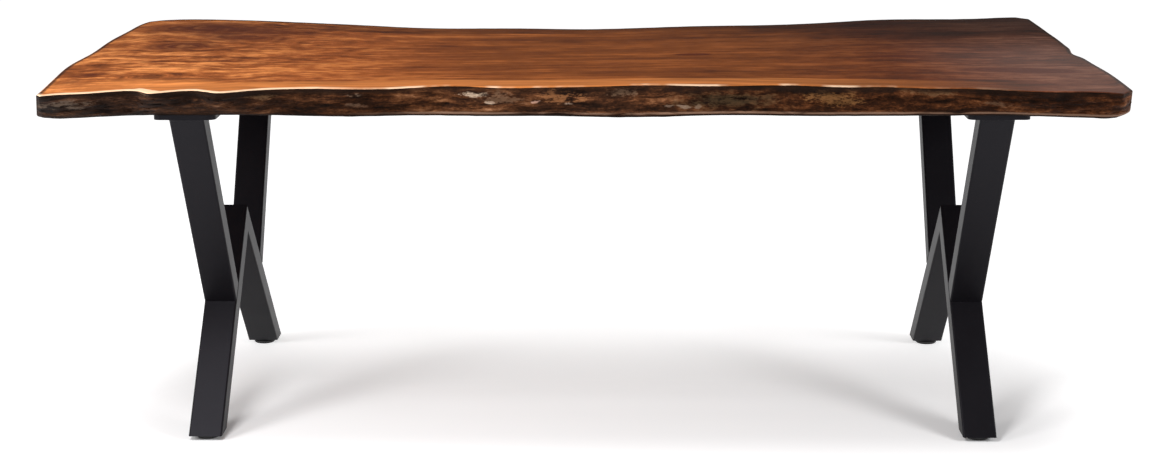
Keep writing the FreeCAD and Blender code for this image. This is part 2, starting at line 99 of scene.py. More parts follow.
# Knots and stains in the top: x, y, reach along and across the grain, darkness, push on the grain
KNOTS = (
    (-1.012, -0.360, 0.050, 0.035, 0.75, 0.6),
    (-1.016, -0.455, 0.040, 0.018, 0.50, 0.3),
    (-0.940, -0.487, 0.028, 0.018, 0.35, 0.3),
    (-0.962, -0.085, 0.055, 0.025, 0.45, 0.5),
    (-0.913, -0.163, 0.045, 0.018, 0.50, 0.3),
    (-0.905, 0.090, 0.090, 0.075, 0.95, 1.0),
    (-0.900, 0.420, 0.160, 0.110, 0.95, 0.6),
    (-0.780, 0.240, 0.120, 0.060, 0.70, 0.8),
    (-0.800, -0.150, 0.110, 0.011, 0.85, 0.1),
    (-0.704, 0.068, 0.050, 0.035, 0.45, 0.8),
    (-0.630, -0.164, 0.060, 0.020, 0.40, 0.3),
    (-0.675, 0.335, 0.140, 0.050, 0.55, 0.4),
    (-0.871, -0.360, 0.050, 0.035, 0.30, 0.9),
    (-0.454, -0.389, 0.035, 0.018, 0.35, 0.6),
    (-0.325, -0.464, 0.060, 0.010, 0.45, 0.1),
    (-0.198, -0.338, 0.160, 0.010, 0.35, 0.1),
    (-0.267, -0.096, 0.200, 0.045, 0.35, 0.2),
    (0.240, -0.051, 0.036, 0.019, 2.20, 0.1),
    (0.073, -0.193, 0.070, 0.045, 0.35, 0.9),
    (0.650, 0.327, 0.150, 0.065, 0.45, 0.3),
    (0.668, -0.080, 0.080, 0.018, 0.90, 0.5),
    (0.630, -0.287, 0.055, 0.030, 0.30, 0.8),
    (0.882, -0.288, 0.100, 0.032, 0.95, 0.5),
    (0.965, -0.310, 0.070, 0.028, 0.75, 0.4),
)

# Scars on the front edge: x, z, half length, half height, colour, strength
SCARS = (
    (-0.995, 0.737, 0.052, 0.012, (0.115, 0.082, 0.060), 0.80),
    (-0.846, 0.757, 0.016, 0.005, (0.500, 0.300, 0.180), 0.90),
    (-0.624, 0.745, 0.034, 0.007, (0.120, 0.070, 0.035), 0.60),
    (-0.442, 0.750, 0.016, 0.004, (0.240, 0.170, 0.120), 0.45),
    (-0.440, 0.727, 0.022, 0.005, (0.150, 0.090, 0.058), 0.35),
    (-0.210, 0.747, 0.034, 0.005, (0.380, 0.280, 0.200), 0.90),
    (-0.179, 0.735, 0.009, 0.003, (0.620, 0.460, 0.340), 1.00),
    (-0.150, 0.742, 0.050, 0.011, (0.130, 0.072, 0.042), 0.70),
    (-0.086, 0.738, 0.012, 0.004, (0.520, 0.300, 0.220), 0.90),
    (-0.036, 0.743, 0.045, 0.013, (0.230, 0.095, 0.038), 0.80),
    (-0.021, 0.729, 0.014, 0.003, (0.360, 0.250, 0.180), 0.80),
    (0.081, 0.749, 0.028, 0.009, (0.150, 0.090, 0.055), 0.65),
    (0.172, 0.721, 0.012, 0.002, (0.240, 0.165, 0.120), 0.50),
    (0.204, 0.723, 0.012, 0.002, (0.280, 0.200, 0.150), 0.60),
    (0.230, 0.722, 0.006, 0.003, (0.240, 0.165, 0.120), 0.50),
    (0.300, 0.735, 0.120, 0.018, (0.062, 0.042, 0.021), 0.45),
    (0.495, 0.738, 0.060, 0.014, (0.175, 0.080, 0.028), 0.65),
    (0.683, 0.751, 0.060, 0.007, (0.100, 0.060, 0.030), 0.50),
    (0.820, 0.729, 0.024, 0.005, (0.130, 0.090, 0.060), 0.30),
)


# ---------------------------------------------------------------- node trees


class Wire:
    """A number that flows through a node tree. Arithmetic on it adds Math nodes."""

    def __init__(self, nodes, socket):
        self.nodes = nodes
        self.socket = socket

    def __add__(self, other):
        return self.nodes.maths("ADD", self, other)

    __radd__ = __add__

    def __sub__(self, other):
        return self.nodes.maths("SUBTRACT", self, other)

    def __rsub__(self, other):
        return self.nodes.maths("SUBTRACT", other, self)

    def __mul__(self, other):
        return self.nodes.maths("MULTIPLY", self, other)

    def __truediv__(self, other):
        return self.nodes.maths("DIVIDE", self, other)

    def __neg__(self):
        return self.nodes.maths("MULTIPLY", self, -1.0)


class Nodes:
    """Adds nodes to one tree."""

    def __init__(self, tree):
        self.tree = tree
        tree.nodes.clear()

    def add(self, kind, settings=None, inputs=None):
        """A node of a kind, with its settings made first and then its sockets fed."""
        node = self.tree.nodes.new(kind)
        for name, setting in (settings or {}).items():
            if name == "stops":
                self.set_stops(node.color_ramp, setting)
            else:
                setattr(node, name, setting)
        for name, value in (inputs or {}).items():
            self.feed(node.inputs[name], value)
        return node

    def wire(self, kind, output, settings=None, inputs=None):
        """A new node's output, ready for arithmetic."""
        return Wire(self, self.add(kind, settings, inputs).outputs[output])

    def feed(self, socket, value):
        if isinstance(value, Wire):
            self.tree.links.new(value.socket, socket)
        elif isinstance(value, bpy.types.NodeSocket):
            self.tree.links.new(value, socket)
        elif socket.type == "RGBA" and len(value) == 3:
            socket.default_value = (*value, 1.0)
        else:
            socket.default_value = value

    @staticmethod
    def set_stops(ramp, stops):
        while len(ramp.elements) < len(stops):
            ramp.elements.new(1.0)
        for element, (position, colour) in zip(ramp.elements, stops):
            element.position = position
            element.color = (*colour, 1.0)

    def maths(self, operation, *values):
        return self.wire("ShaderNodeMath", 0, {"operation": operation}, dict(enumerate(values)))

    def step(self, value, low, high):
        """0 below low, 1 above high and smooth between; low may be the greater."""
        return self.wire(
            "ShaderNodeMapRange",
            "Result",
            {"interpolation_type": "SMOOTHSTEP"},
            {"Value": value, "From Min": low, "From Max": high},
        )

    def vector(self, operation, first, second, output=0):
        return self.wire("ShaderNodeVectorMath", output, {"operation": operation}, {0: first, 1: second})

    def point(self, x, y, z):
        return self.wire("ShaderNodeCombineXYZ", 0, None, {0: x, 1: y, 2: z})

    def split(self, vector):
        node = self.add("ShaderNodeSeparateXYZ", None, {0: vector})
        return [Wire(self, output) for output in node.outputs]

    def noise(self, vector, scale, detail=3.0, roughness=0.5):
        return self.wire(
            "ShaderNodeTexNoise",
            "Fac",
            None,
            {"Vector": vector, "Scale": scale, "Detail": detail, "Roughness": roughness},
        )

    def attribute(self, name):
        return self.wire("ShaderNodeAttribute", "Fac", {"attribute_name": name})

    def place(self):
        """The place on the object, in metres."""
        return self.wire("ShaderNodeTexCoord", "Object")

    def random(self, low, high, seed):
        """A random number of its own for each point."""
        return self.wire(
            "FunctionNodeRandomValue",
            1,
            {"data_type": "FLOAT"},
            {2: low, 3: high, "Seed": seed},
        )

    def solid(self, name):
        """The shape of an object in the scene."""
        return self.wire("GeometryNodeObjectInfo", "Geometry", None, {"Object": bpy.data.objects[name]})

    def instances(self, points, shape, rotation, scale=(1.0, 1.0, 1.0)):
        """A copy of a shape on every point."""
        return self.wire(
            "GeometryNodeInstanceOnPoints",
            0,
            None,
            {"Points": points, "Instance": shape, "Rotation": rotation, "Scale": scale},
        )

    def ramp(self, value, stops):
        return self.wire("ShaderNodeValToRGB", "Color", {"stops": stops}, {"Fac": value})

    def mix(self, mask, first, second, blend="MIX"):
        """First colour where the mask is 0 and the second where it is 1."""
        return self.wire(
            "ShaderNodeMix",
            2,
            {"data_type": "RGBA", "blend_type": blend, "clamp_factor": True},
            {0: mask, 6: first, 7: second},
        )

    def dim(self, colour, share):
        """A colour made darker by a share, which may be a wire."""
        return self.wire("ShaderNodeVectorMath", 0, {"operation": "SCALE"}, {0: colour, "Scale": share})

    def bump(self, height, distance, strength=1.0):
        return self.wire(
            "ShaderNodeBump",
            "Normal",
            None,
            {"Strength": strength, "Distance": distance, "Height": height},
        )


def new_material(name, paint, **constants):
    """A material whose Principled shader takes the sockets that paint(nodes) returns."""
    material = bpy.data.materials.new(name)
    material.use_nodes = True
    nodes = Nodes(material.node_tree)
    shader = nodes.add("ShaderNodeBsdfPrincipled", None, {**constants, **paint(nodes)})
    nodes.add("ShaderNodeOutputMaterial", None, {"Surface": shader.outputs[0]})
    return material


# ---------------------------------------------------------------- finishes


def growth_place(nodes):
    """Place in the log: along the grain, across it as the live edges run, and up."""
    along, _, up = nodes.split(nodes.place())
    across = nodes.attribute("across") * NOMINAL_DEPTH
    return along, across, up


def figure(nodes, place, coarse, fine, detail, roughness=0.5):
    """Noise at a place in the log, with fewer repeats along the grain than across it."""
    along, across, up = place
    spread = nodes.point(along * coarse, across * fine, up * fine)
    return nodes.noise(spread, 1.0, detail, roughness)


def knot_fields(nodes, along, across, knots):
    """How dark the knots make the wood, and how far they push the grain aside."""
    dark, push = 0.0, 0.0
    for x, middle, reach, width, depth, shove in knots:
        side = across - middle
        lengthwise = (along - x) * (1 / reach)
        crosswise = side * (1 / width)
        near = nodes.maths("EXPONENT", -(lengthwise * lengthwise + crosswise * crosswise))
        dark = near * depth + dark
        push = near * side * shove + push
    return dark, push


def paint_face_grain(nodes, wood, knots):
    """Oiled face grain: its colour, roughness and height."""
    along, across, up = growth_place(nodes)
    straight = (along, across, up)
    drift = figure(nodes, straight, 1.3, 3.0, 2.0)
    curl = figure(nodes, straight, 3.2, 7.0, 2.0)
    figured = nodes.step(along, -0.15, -0.75)
    dark, push = 0.0, 0.0
    if knots:
        dark, push = knot_fields(nodes, along, across, knots)
    wander = (drift - 0.5) * wood.grain_drift + (curl - 0.5) * (figured * wood.curl + 0.02)
    grain = across + wander - push
    grown = (along, grain, up)
    broad = figure(nodes, grown, 1.2, 9.0, 4.0, 0.55)
    streak = figure(nodes, grown, 3.4, 56.0, 4.0, 0.6)
    fibre = figure(nodes, grown, 18.0, 260.0, 3.0, 0.6)
    pores = figure(nodes, grown, 60.0, 1300.0, 1.0)
    blotch = figure(nodes, grown, 9.0, 15.0, 6.0, 0.70)
    burl = figure(nodes, grown, 24.0, 28.0, 3.0, 0.60)
    ring_phase = grain * wood.rings_per_metre + broad * 5.0 + streak * 0.7
    ring = nodes.maths("SINE", ring_phase * math.tau) * 0.5 + 0.5
    calm = nodes.step(along, 0.10, 0.60)
    tone = (
        (broad - 0.5) * 1.1
        + (streak - 0.5) * (1.15 - calm * 0.15)
        + (ring - 0.5) * 0.10
        + (fibre - 0.5) * 0.8
        + (blotch - 0.5) * (figured * 1.3 + calm * 0.7 + 1.1)
        + (burl - 0.5) * (figured * 1.3)
        + 0.5
    )
    place = along / SLAB_LENGTH + 0.5
    # At the far right end the colours are greyed towards violet: partly the wood's own colour, partly a
    # painted sheen
    deep = nodes.ramp(place, [
        (0.00, wood.left_deep),
        (0.42, wood.middle_deep),
        (0.78, wood.right_deep),
        (1.00, wood.far_right_deep),
    ])
    light = nodes.ramp(place, [
        (0.10, wood.left_light),
        (0.26, wood.left_warm),
        (0.42, wood.middle_light),
        (0.67, wood.middle_light),
        (0.82, wood.right_light),
        (1.00, wood.far_right_light),
    ])
    bright = nodes.ramp(place, [
        (0.10, wood.left_bright),
        (0.42, wood.middle_bright),
        (0.80, wood.right_bright),
        (1.00, wood.far_right_bright),
    ])
    colour = nodes.mix(tone * 2.0, deep, light)
    colour = nodes.mix(tone * 2.0 - 1.0, colour, bright)
    late_wood = nodes.step(ring, 0.72, 1.0) * 0.22
    colour = nodes.dim(colour, 1.0 - late_wood)
    colour = nodes.dim(colour, 1.0 - nodes.step(pores, 0.60, 0.72) * 0.35)
    fleck = figure(nodes, grown, 16.0, 75.0, 3.0, 0.65)
    colour = nodes.dim(colour, 1.0 - nodes.step(fleck, 0.58, 0.72) * (figured * 0.30 + 0.18))
    if knots:
        ragged = dark + (blotch - 0.5) * 1.9 + (streak - 0.5) * 0.9
        stained = nodes.step(ragged, 0.18, 0.85) * nodes.step(dark, 0.02, 0.40)
        eye = nodes.maths("SINE", dark * 32.0 + streak * 9.0 + blotch * 14.0) * 0.12 + 0.84
        colour = nodes.mix(stained * eye, colour, wood.knot)
    height = fibre * 0.6 + nodes.step(pores, 0.55, 0.7) * -0.5 + streak * 0.5
    roughness = (streak - 0.5) * 0.16 + (fibre - 0.5) * 0.1 + wood.roughness
    return colour, roughness, height, broad, streak


def paint_rims(nodes, wood, colour, broad, streak):
    """Sapwood and a painted highlight along the front rim, dark wood along the back, a dark rim at back and
    ends.
    """
    along, across, _ = growth_place(nodes)
    front = nodes.attribute("front_distance")
    rear = nodes.attribute("rear_distance")
    wander = (broad - 0.5) * 0.07 + (streak - 0.5) * 0.03
    wider = nodes.step(along, -0.55, -0.85)
    inward = (front + across) * 0.5 + wander
    sapwood = nodes.step(inward, wider * 0.08 + 0.103, wider * 0.01 + 0.086)
    reach = nodes.step(along, -1.15, -0.80) * nodes.step(along, 0.95, 0.30)
    shade = nodes.dim(wood.sapwood, streak * 2.1 + broad * 0.7 + wider * 0.15 - 0.35)
    colour = nodes.mix(sapwood * reach * 0.8, colour, shade)
    band = nodes.step(rear + wander * 1.4, 0.135, 0.100) * nodes.step(along, -1.0, -0.5)
    colour = nodes.mix(band * 0.8, colour, nodes.dim(colour, 0.75 - nodes.step(along, 0.0, -0.45) * 0.33))
    heartwood = nodes.step(rear + wander * 2.0, 0.66, 0.14) * nodes.step(along, 0.05, 0.85)
    colour = nodes.mix(heartwood * 0.90, colour, nodes.dim(colour, 0.26))
    # Darker rim along the rear edge and within a centimetre of both sawn ends
    edge = nodes.step(rear, 0.017, 0.006)
    colour = nodes.mix(edge * 0.9, colour, wood.dark_rim)
    end_rim = nodes.step(nodes.attribute("end_distance"), 0.010, 0.003)
    colour = nodes.mix(end_rim * 0.85, colour, wood.dark_rim)
    # Painted highlight on the eased front rim, in a pale sapwood colour: all along the left part, in patches
    # further right; worn marks where it shows
    lip = nodes.noise(nodes.point(along * 7.0, 0.0, 0.0), 1.0, 3.0)
    left = nodes.step(along, -0.35, -0.60)
    worn = nodes.maths("MAXIMUM", nodes.step(lip, 0.47, 0.58), left)
    highlight_bulge = nodes.step(nodes.maths("ABSOLUTE", along + 0.846), 0.034, 0.006) * 0.022
    pale = nodes.step(front + (streak - 0.5) * 0.02 - highlight_bulge, 0.015, 0.004) * worn
    return nodes.mix(pale * nodes.step(along, 0.90, 0.45) * 0.8, colour, wood.lip_highlight)


def top_finish(wood, knots):
    """Oiled top, with a thin satin build of oil that is thicker at the right end's front."""

    def paint(nodes):
        colour, roughness, height, broad, streak = paint_face_grain(nodes, wood, knots)
        colour = paint_rims(nodes, wood, colour, broad, streak)
        along, _, _ = growth_place(nodes)
        handled = nodes.step(along, 0.60, 1.00) * nodes.step(nodes.attribute("rear_distance"), 0.30, 0.75)
        build = handled * wood.right_build + streak * 0.02 + wood.oil_build
        return {
            "Base Color": colour,
            "Roughness": roughness,
            "Coat Weight": build,
            "Normal": nodes.bump(height, 0.00035, 0.6),
        }

    gloss = {"Specular IOR Level": wood.gloss, "Coat Roughness": 0.30}
    return new_material("oiled_wood", paint, **gloss)


def paint_bark(nodes, bark):
    """The dark weathered live edge, with painted shade under its top rim and on its lower rounding: its
    colour and height.
    """
    along, front_to_back, up = nodes.split(nodes.place())
    relief = nodes.attribute("relief")

    def weathering(height, wide, tall, detail, roughness=0.5):
        """Noise with its own number of repeats along the edge and up it."""
        place = nodes.point(along * wide, front_to_back * wide, height * tall)
        return nodes.noise(place, 1.0, detail, roughness)

    curl = weathering(up, 8, 20, 2.0)
    rise = up + (curl - 0.5) * 0.030
    broad = weathering(rise, 7, 45, 3.0, 0.6)
    flake = weathering(rise, 13, 120, 6.0, 0.64)
    grit = weathering(up, 150, 520, 3.0, 0.6)
    crumb = weathering(rise, 42, 85, 4.0, 0.65)
    crumbly = nodes.step(along, -0.05, 0.35)
    tone = (
        (broad - 0.5) * 1.5
        + (flake - 0.5) * (1.8 - crumbly * 0.7)
        + (crumb - 0.5) * (crumbly * 0.8 + 0.4)
        + (grit - 0.5) * 0.7
        + relief * 0.18
        + 0.39
    )
    colour = nodes.ramp(tone, [
        (0.00, bark.pit_and_shade),
        (0.34, bark.dark),
        (0.58, bark.brown),
        (0.80, bark.worn),
        (1.00, bark.exposed),
    ])
    tint = nodes.ramp(along / SLAB_LENGTH + 0.5, [
        (0.06, bark.left_tint),
        (0.31, bark.near_left_tint),
        (0.52, bark.middle_tint),
        (0.66, bark.right_tint),
    ])
    colour = nodes.mix(1.0, colour, tint, "MULTIPLY")
    facing = nodes.step(front_to_back, 0.01, -0.01)
    torn = (flake - 0.5) * 4.0 + (crumb - 0.5) * 6.0 + (grit - 0.5) * 3.5
    for x, z, length, height, scar, strength in SCARS:
        lengthwise = (along - x) * (1 / length)
        upright = (rise - z) * (1 / height)
        distance = lengthwise * lengthwise + upright * upright
        ragged = nodes.step(distance - torn, 1.0, -0.2)
        colour = nodes.mix(ragged * facing * strength, colour, scar)
    # Painted shade in a band under the top rim, deeper left and right of the middle, in the pits' colour
    from_top = SLAB_HIGH.z - up
    shadow = nodes.step(from_top + (broad - 0.5) * 0.035, 0.017, 0.009)
    left = nodes.step(along, -0.25, -0.50) * 0.35
    right = nodes.step(along, 0.15, 0.30) * nodes.step(along, 0.90, 0.70) * 0.35
    colour = nodes.mix(shadow * (left + right + 0.5), colour, bark.pit_and_shade)
    from_below = up - SLAB_LOW.z
    lip = nodes.step(from_below, 0.0035, 0.0062) * nodes.step(from_below, 0.0105, 0.0078)
    lip = lip * nodes.step(along, -0.50, -0.25)
    colour = nodes.mix(lip * nodes.step(broad + flake * 0.4, 0.55, 0.75), colour, bark.lip)
    # Painted shade on the downward-facing lower rounding, in the pits' colour
    colour = nodes.mix(nodes.step(from_below, 0.0060, 0.0035) * 0.85, colour, bark.pit_and_shade)
    return colour, flake + grit * 0.35


def bark_finish(wood, bark):
    """Bark, with the eased wood of the top showing where the bark has gone."""

    def paint(nodes):
        face, roughness, _, broad, streak = paint_face_grain(nodes, wood, ())
        face = paint_rims(nodes, wood, face, broad, streak)
        colour, height = paint_bark(nodes, bark)
        along, _, _ = growth_place(nodes)
        sanded = nodes.step(along, SLAB_HIGH.x - 0.006, SLAB_HIGH.x - 0.014)
        bare = nodes.step(nodes.attribute("bark") + (height - 0.65) * 0.7, 0.36, 0.52) * sanded
        return {
            "Base Color": nodes.mix(bare, face, colour),
            "Roughness": nodes.maths("MAXIMUM", roughness, bare * bark.roughness),
            "Normal": nodes.bump(height * bare, 0.0030, 1.0),
        }

    return new_material("live_edge_bark", paint, **{"Specular IOR Level": bark.gloss})


def flake_finish(bark):
    """Loose flakes of the same bark."""

    def paint(nodes):
        colour, height = paint_bark(nodes, bark)
        return {
            "Base Color": colour,
            "Roughness": (height - 0.5) * 0.2 + bark.roughness,
            "Normal": nodes.bump(height, 0.0010, 0.8),
        }

    return new_material("bark_flake", paint, **{"Specular IOR Level": bark.gloss})


def sawn_end_finish(wood):
    """End grain takes more oil, so it is darker, with its rings in arcs."""

    def paint(nodes):
        colour, roughness, height, _, _ = paint_face_grain(nodes, wood, ())
        _, across, up = growth_place(nodes)
        heart_across, heart_up = 0.52, 0.46
        from_heart = nodes.point(0.0, across - heart_across, up - heart_up)
        ring = nodes.vector("DISTANCE", from_heart, (0.0, 0.0, 0.0), "Value")
        arcs = nodes.maths("SINE", ring * 520.0 + height * 3.0) * 0.5 + 0.5
        return {
            "Base Color": nodes.dim(colour, 0.55 + arcs * 0.25),
            "Roughness": roughness + 0.1,
            "Normal": nodes.bump(arcs + height, 0.0003, 0.5),
        }

    return new_material("sawn_end_grain", paint, **{"Specular IOR Level": 0.2})


def underside_finish(wood):
    """Planed underside, sealed once and left duller than the top."""

    def paint(nodes):
        colour, _, height, _, _ = paint_face_grain(nodes, wood, ())
        along, _, _ = growth_place(nodes)
        chatter = nodes.maths("SINE", along * 1100.0) * 0.5
        return {
            "Base Color": nodes.mix(0.35, nodes.dim(colour, 0.85), (0.13, 0.085, 0.055)),
            "Roughness": (height - 0.3) * 0.1 + 0.62,
            "Normal": nodes.bump(height + chatter * 0.2, 0.0003, 0.5),
        }

    return new_material("planed_underside", paint, **{"Specular IOR Level": 0.2})


def powder_coat_finish(steel):
    """Satin black powder coat with its fine orange peel."""

    def paint(nodes):
        place = nodes.place()
        peel = nodes.noise(place, 950.0, 2.0)
        cloud = nodes.noise(place, 7.0, 4.0, 0.6)
        dust = nodes.noise(place, 160.0, 3.0, 0.7)
        shade = nodes.dim(steel.coat, 0.85 + cloud * 0.3)
        return {
            "Base Color": nodes.mix(nodes.step(dust, 0.6, 0.8) * 0.12, shade, (0.05, 0.05, 0.055)),
            "Roughness": (cloud - 0.5) * 0.14 + (dust - 0.5) * 0.06 + steel.coat_roughness,
            "Normal": nodes.bump(peel, 0.00012, 0.35),
        }

    gloss = {"Specular IOR Level": steel.coat_gloss, "Specular Tint": steel.coat_sheen}
    return new_material("satin_powder_coat", paint, **gloss)


def zinc_finish(steel):
    """Bright zinc plate with a faint cloudy passivation."""

    def paint(nodes):
        place = nodes.place()
        cloud = nodes.noise(place, 90.0, 4.0, 0.6)
        scratch = nodes.noise(nodes.vector("MULTIPLY", place, (900.0, 120.0, 120.0)), 1.0, 3.0)
        tint = nodes.mix(cloud, steel.zinc, (0.62, 0.60, 0.50))
        return {
            "Base Color": nodes.dim(tint, 0.8 + scratch * 0.3),
            "Roughness": (cloud - 0.5) * 0.3 + 0.34,
            "Metallic": nodes.step(cloud, 0.95, 0.75),
            "Normal": nodes.bump(scratch, 0.00005, 0.4),
        }

    return new_material("zinc_plate", paint)


def black_oxide_finish():
    """Black oxide on the turned foot discs, a little worn on its raised parts."""

    def paint(nodes):
        place = nodes.place()
        wear = nodes.noise(place, 260.0, 4.0, 0.65)
        oxide, worn = (0.014, 0.014, 0.015), (0.06, 0.058, 0.055)
        return {
            "Base Color": nodes.mix(nodes.step(wear, 0.62, 0.75), oxide, worn),
            "Roughness": (wear - 0.5) * 0.25 + 0.45,
            "Normal": nodes.bump(wear, 0.00006, 0.4),
        }

    return new_material("black_oxide", paint, **{"Specular IOR Level": 0.35})


def rubber_finish():
    """Moulded non-marking rubber."""

    def paint(nodes):
        place = nodes.place()
        grain = nodes.noise(place, 700.0, 3.0, 0.6)
        dust = nodes.noise(place, 60.0, 3.0, 0.6)
        clean, dusty = (0.022, 0.022, 0.022), (0.06, 0.057, 0.052)
        return {
            "Base Color": nodes.mix(nodes.step(dust, 0.5, 0.8) * 0.5, clean, dusty),
            "Roughness": (grain - 0.5) * 0.2 + 0.8,
            "Normal": nodes.bump(grain, 0.0001, 0.5),
        }

    return new_material("moulded_rubber", paint, **{"Specular IOR Level": 0.2})


# ---------------------------------------------------------------- the slab


def rim_points(height):
    """The slab's outer rim at a height, in order, anticlockwise from above."""
    mesh = bmesh.new()
    mesh.from_mesh(frame["nodes"][SLAB].data)
    bmesh.ops.remove_doubles(mesh, verts=mesh.verts, dist=MERGE)
    level = {face for face in mesh.faces if all(abs(v.co.z - height) < MERGE for v in face.verts)}
    following = {}
    for face in level:
        for loop in face.loops:
            if sum(other in level for other in loop.edge.link_faces) == 1:
                following[loop.vert] = loop.link_loop_next.vert
    rims = []
    while following:
        start, vert = following.popitem()
        rim = [start.co.to_2d()]
        while vert is not start:
            rim.append(vert.co.to_2d())
            vert = following.pop(vert)
        rims.append(rim)
    mesh.free()
    rim = max(rims, key=len)
    area = sum(a.x * b.y - b.x * a.y for a, b in zip(rim, rim[1:] + rim[:1]))
    return rim if area > 0 else rim[::-1]


class Outline:
    """One level of the slab's outline, split at its four corners into four sides."""

    def __init__(self, height):
        rim = rim_points(height)
        corners = [
            max(range(len(rim)), key=lambda i: rim[i].x * sx + rim[i].y * sy)
            for sx, sy in ((-1, -0.3), (1, -0.3), (1, 0.3), (-1, 0.3))
        ]
        sides = []
        for first, last in zip(corners, corners[1:] + corners[:1]):
            count = (last - first) % len(rim)
            sides.append([rim[(first + k) % len(rim)] for k in range(count + 1)])
        self.front, self.right = sides[0], sides[1]
        self.rear, self.left = sides[2][::-1], sides[3][::-1]

    @staticmethod
    def along(side, axis, share):
        """The point of a side at a share of its run along x (axis 0) or y (axis 1)."""
        keys = [point[axis] for point in side]
        goal = keys[0] + (keys[-1] - keys[0]) * share
        k = min(max(bisect_right(keys, goal), 1), len(keys) - 1)
        gap = keys[k] - keys[k - 1]
        return side[k - 1].lerp(side[k], (goal - keys[k - 1]) / gap if gap else 0.0)

    def ring(self, columns, shares):
        """Stations right round: front edge, right end, rear edge, left end."""
        rows = len(shares) - 1
        ring = [self.along(self.front, 0, k / columns) for k in range(columns)]
        ring += [self.along(self.right, 1, shares[k]) for k in range(rows)]
        ring += [self.along(self.rear, 0, 1 - k / columns) for k in range(columns)]
        ring += [self.along(self.left, 1, shares[rows - k]) for k in range(rows)]
        return ring


def end_shares(rows, crowding=0.85):
    """Shares across an end, from 0 to 1, that crowd towards both live edges."""
    return [
        (1 - crowding) * k / rows + crowding * (1 - math.cos(math.pi * k / rows)) / 2
        for k in range(rows + 1)
    ]


def smooth(value, low, high):
    """0 below low, 1 above high and smooth between."""
    share = min(max((value - low) / (high - low), 0.0), 1.0)
    return share * share * (3 - 2 * share)


def soften(line, reach):
    """A line of heights averaged over its neighbours, with both its ends kept."""
    last = len(line) - 1
    softened = []
    for k in range(len(line)):
        near = min(reach, k, last - k)
        softened.append(sum(line[k - near:k + near + 1]) / (2 * near + 1))
    return softened


def terraces(height, count, steepness):
    """A height field broken into flat plates with short steps between them."""
    level = height * count
    whole = math.floor(level)
    return (whole + (level - whole) ** steepness) / count


def bark_relief(x, z, offset, shape):
    """How far the bark stands out at a place on a live edge, in metres, and its share of full relief."""
    lumps = noise.fractal(Vector((x * 8, offset, z * 24)), 1.0, 2.0, 3)
    warp = noise.noise(Vector((x * 17, offset + 5, z * 40))) * 0.6
    plates = noise.fractal(Vector((x * 20, offset + 9, z * 85 + warp)), 0.9, 2.1, 3)
    plates = terraces(plates, 3.0, 4.0)
    fibre = noise.fractal(Vector((x * 75, offset + 17, z * 210)), 0.8, 2.0, 3)
    depth = lumps * shape.lump_depth + plates * shape.plate_depth + fibre * shape.fibre_depth
    return depth, lumps * 0.35 + plates * 0.75 + fibre * 0.5


def profile_rows(shape, rounding):
    """Rows down the slab's edge: inset from the outline, drop from the top, and share of relief."""
    rows = []
    for k in range(EASED_ROWS):
        turn = math.radians(90.0 / EASED_ROWS * k)
        inset = shape.eased_edge * (1 - math.sin(turn))
        rows.append((inset, shape.eased_edge * (1 - math.cos(turn)), 0.04 * k))
    first, last = shape.eased_edge, SLAB_THICK - rounding
    for k in range(shape.face_rows):
        drop = first + (last - first) * k / (shape.face_rows - 1)
        share = smooth(drop, 0.0, 0.012) * (1 - 0.7 * smooth(drop, last - 0.01, last))
        rows.append((0.0, drop, share))
    for k in range(1, ROUNDED_ROWS + 1):
        turn = math.radians(90.0 / ROUNDED_ROWS * k)
        inset = rounding * (1 - math.cos(turn))
        rows.append((inset, last + rounding * math.sin(turn), 0.1 * (ROUNDED_ROWS - k)))
    return rows


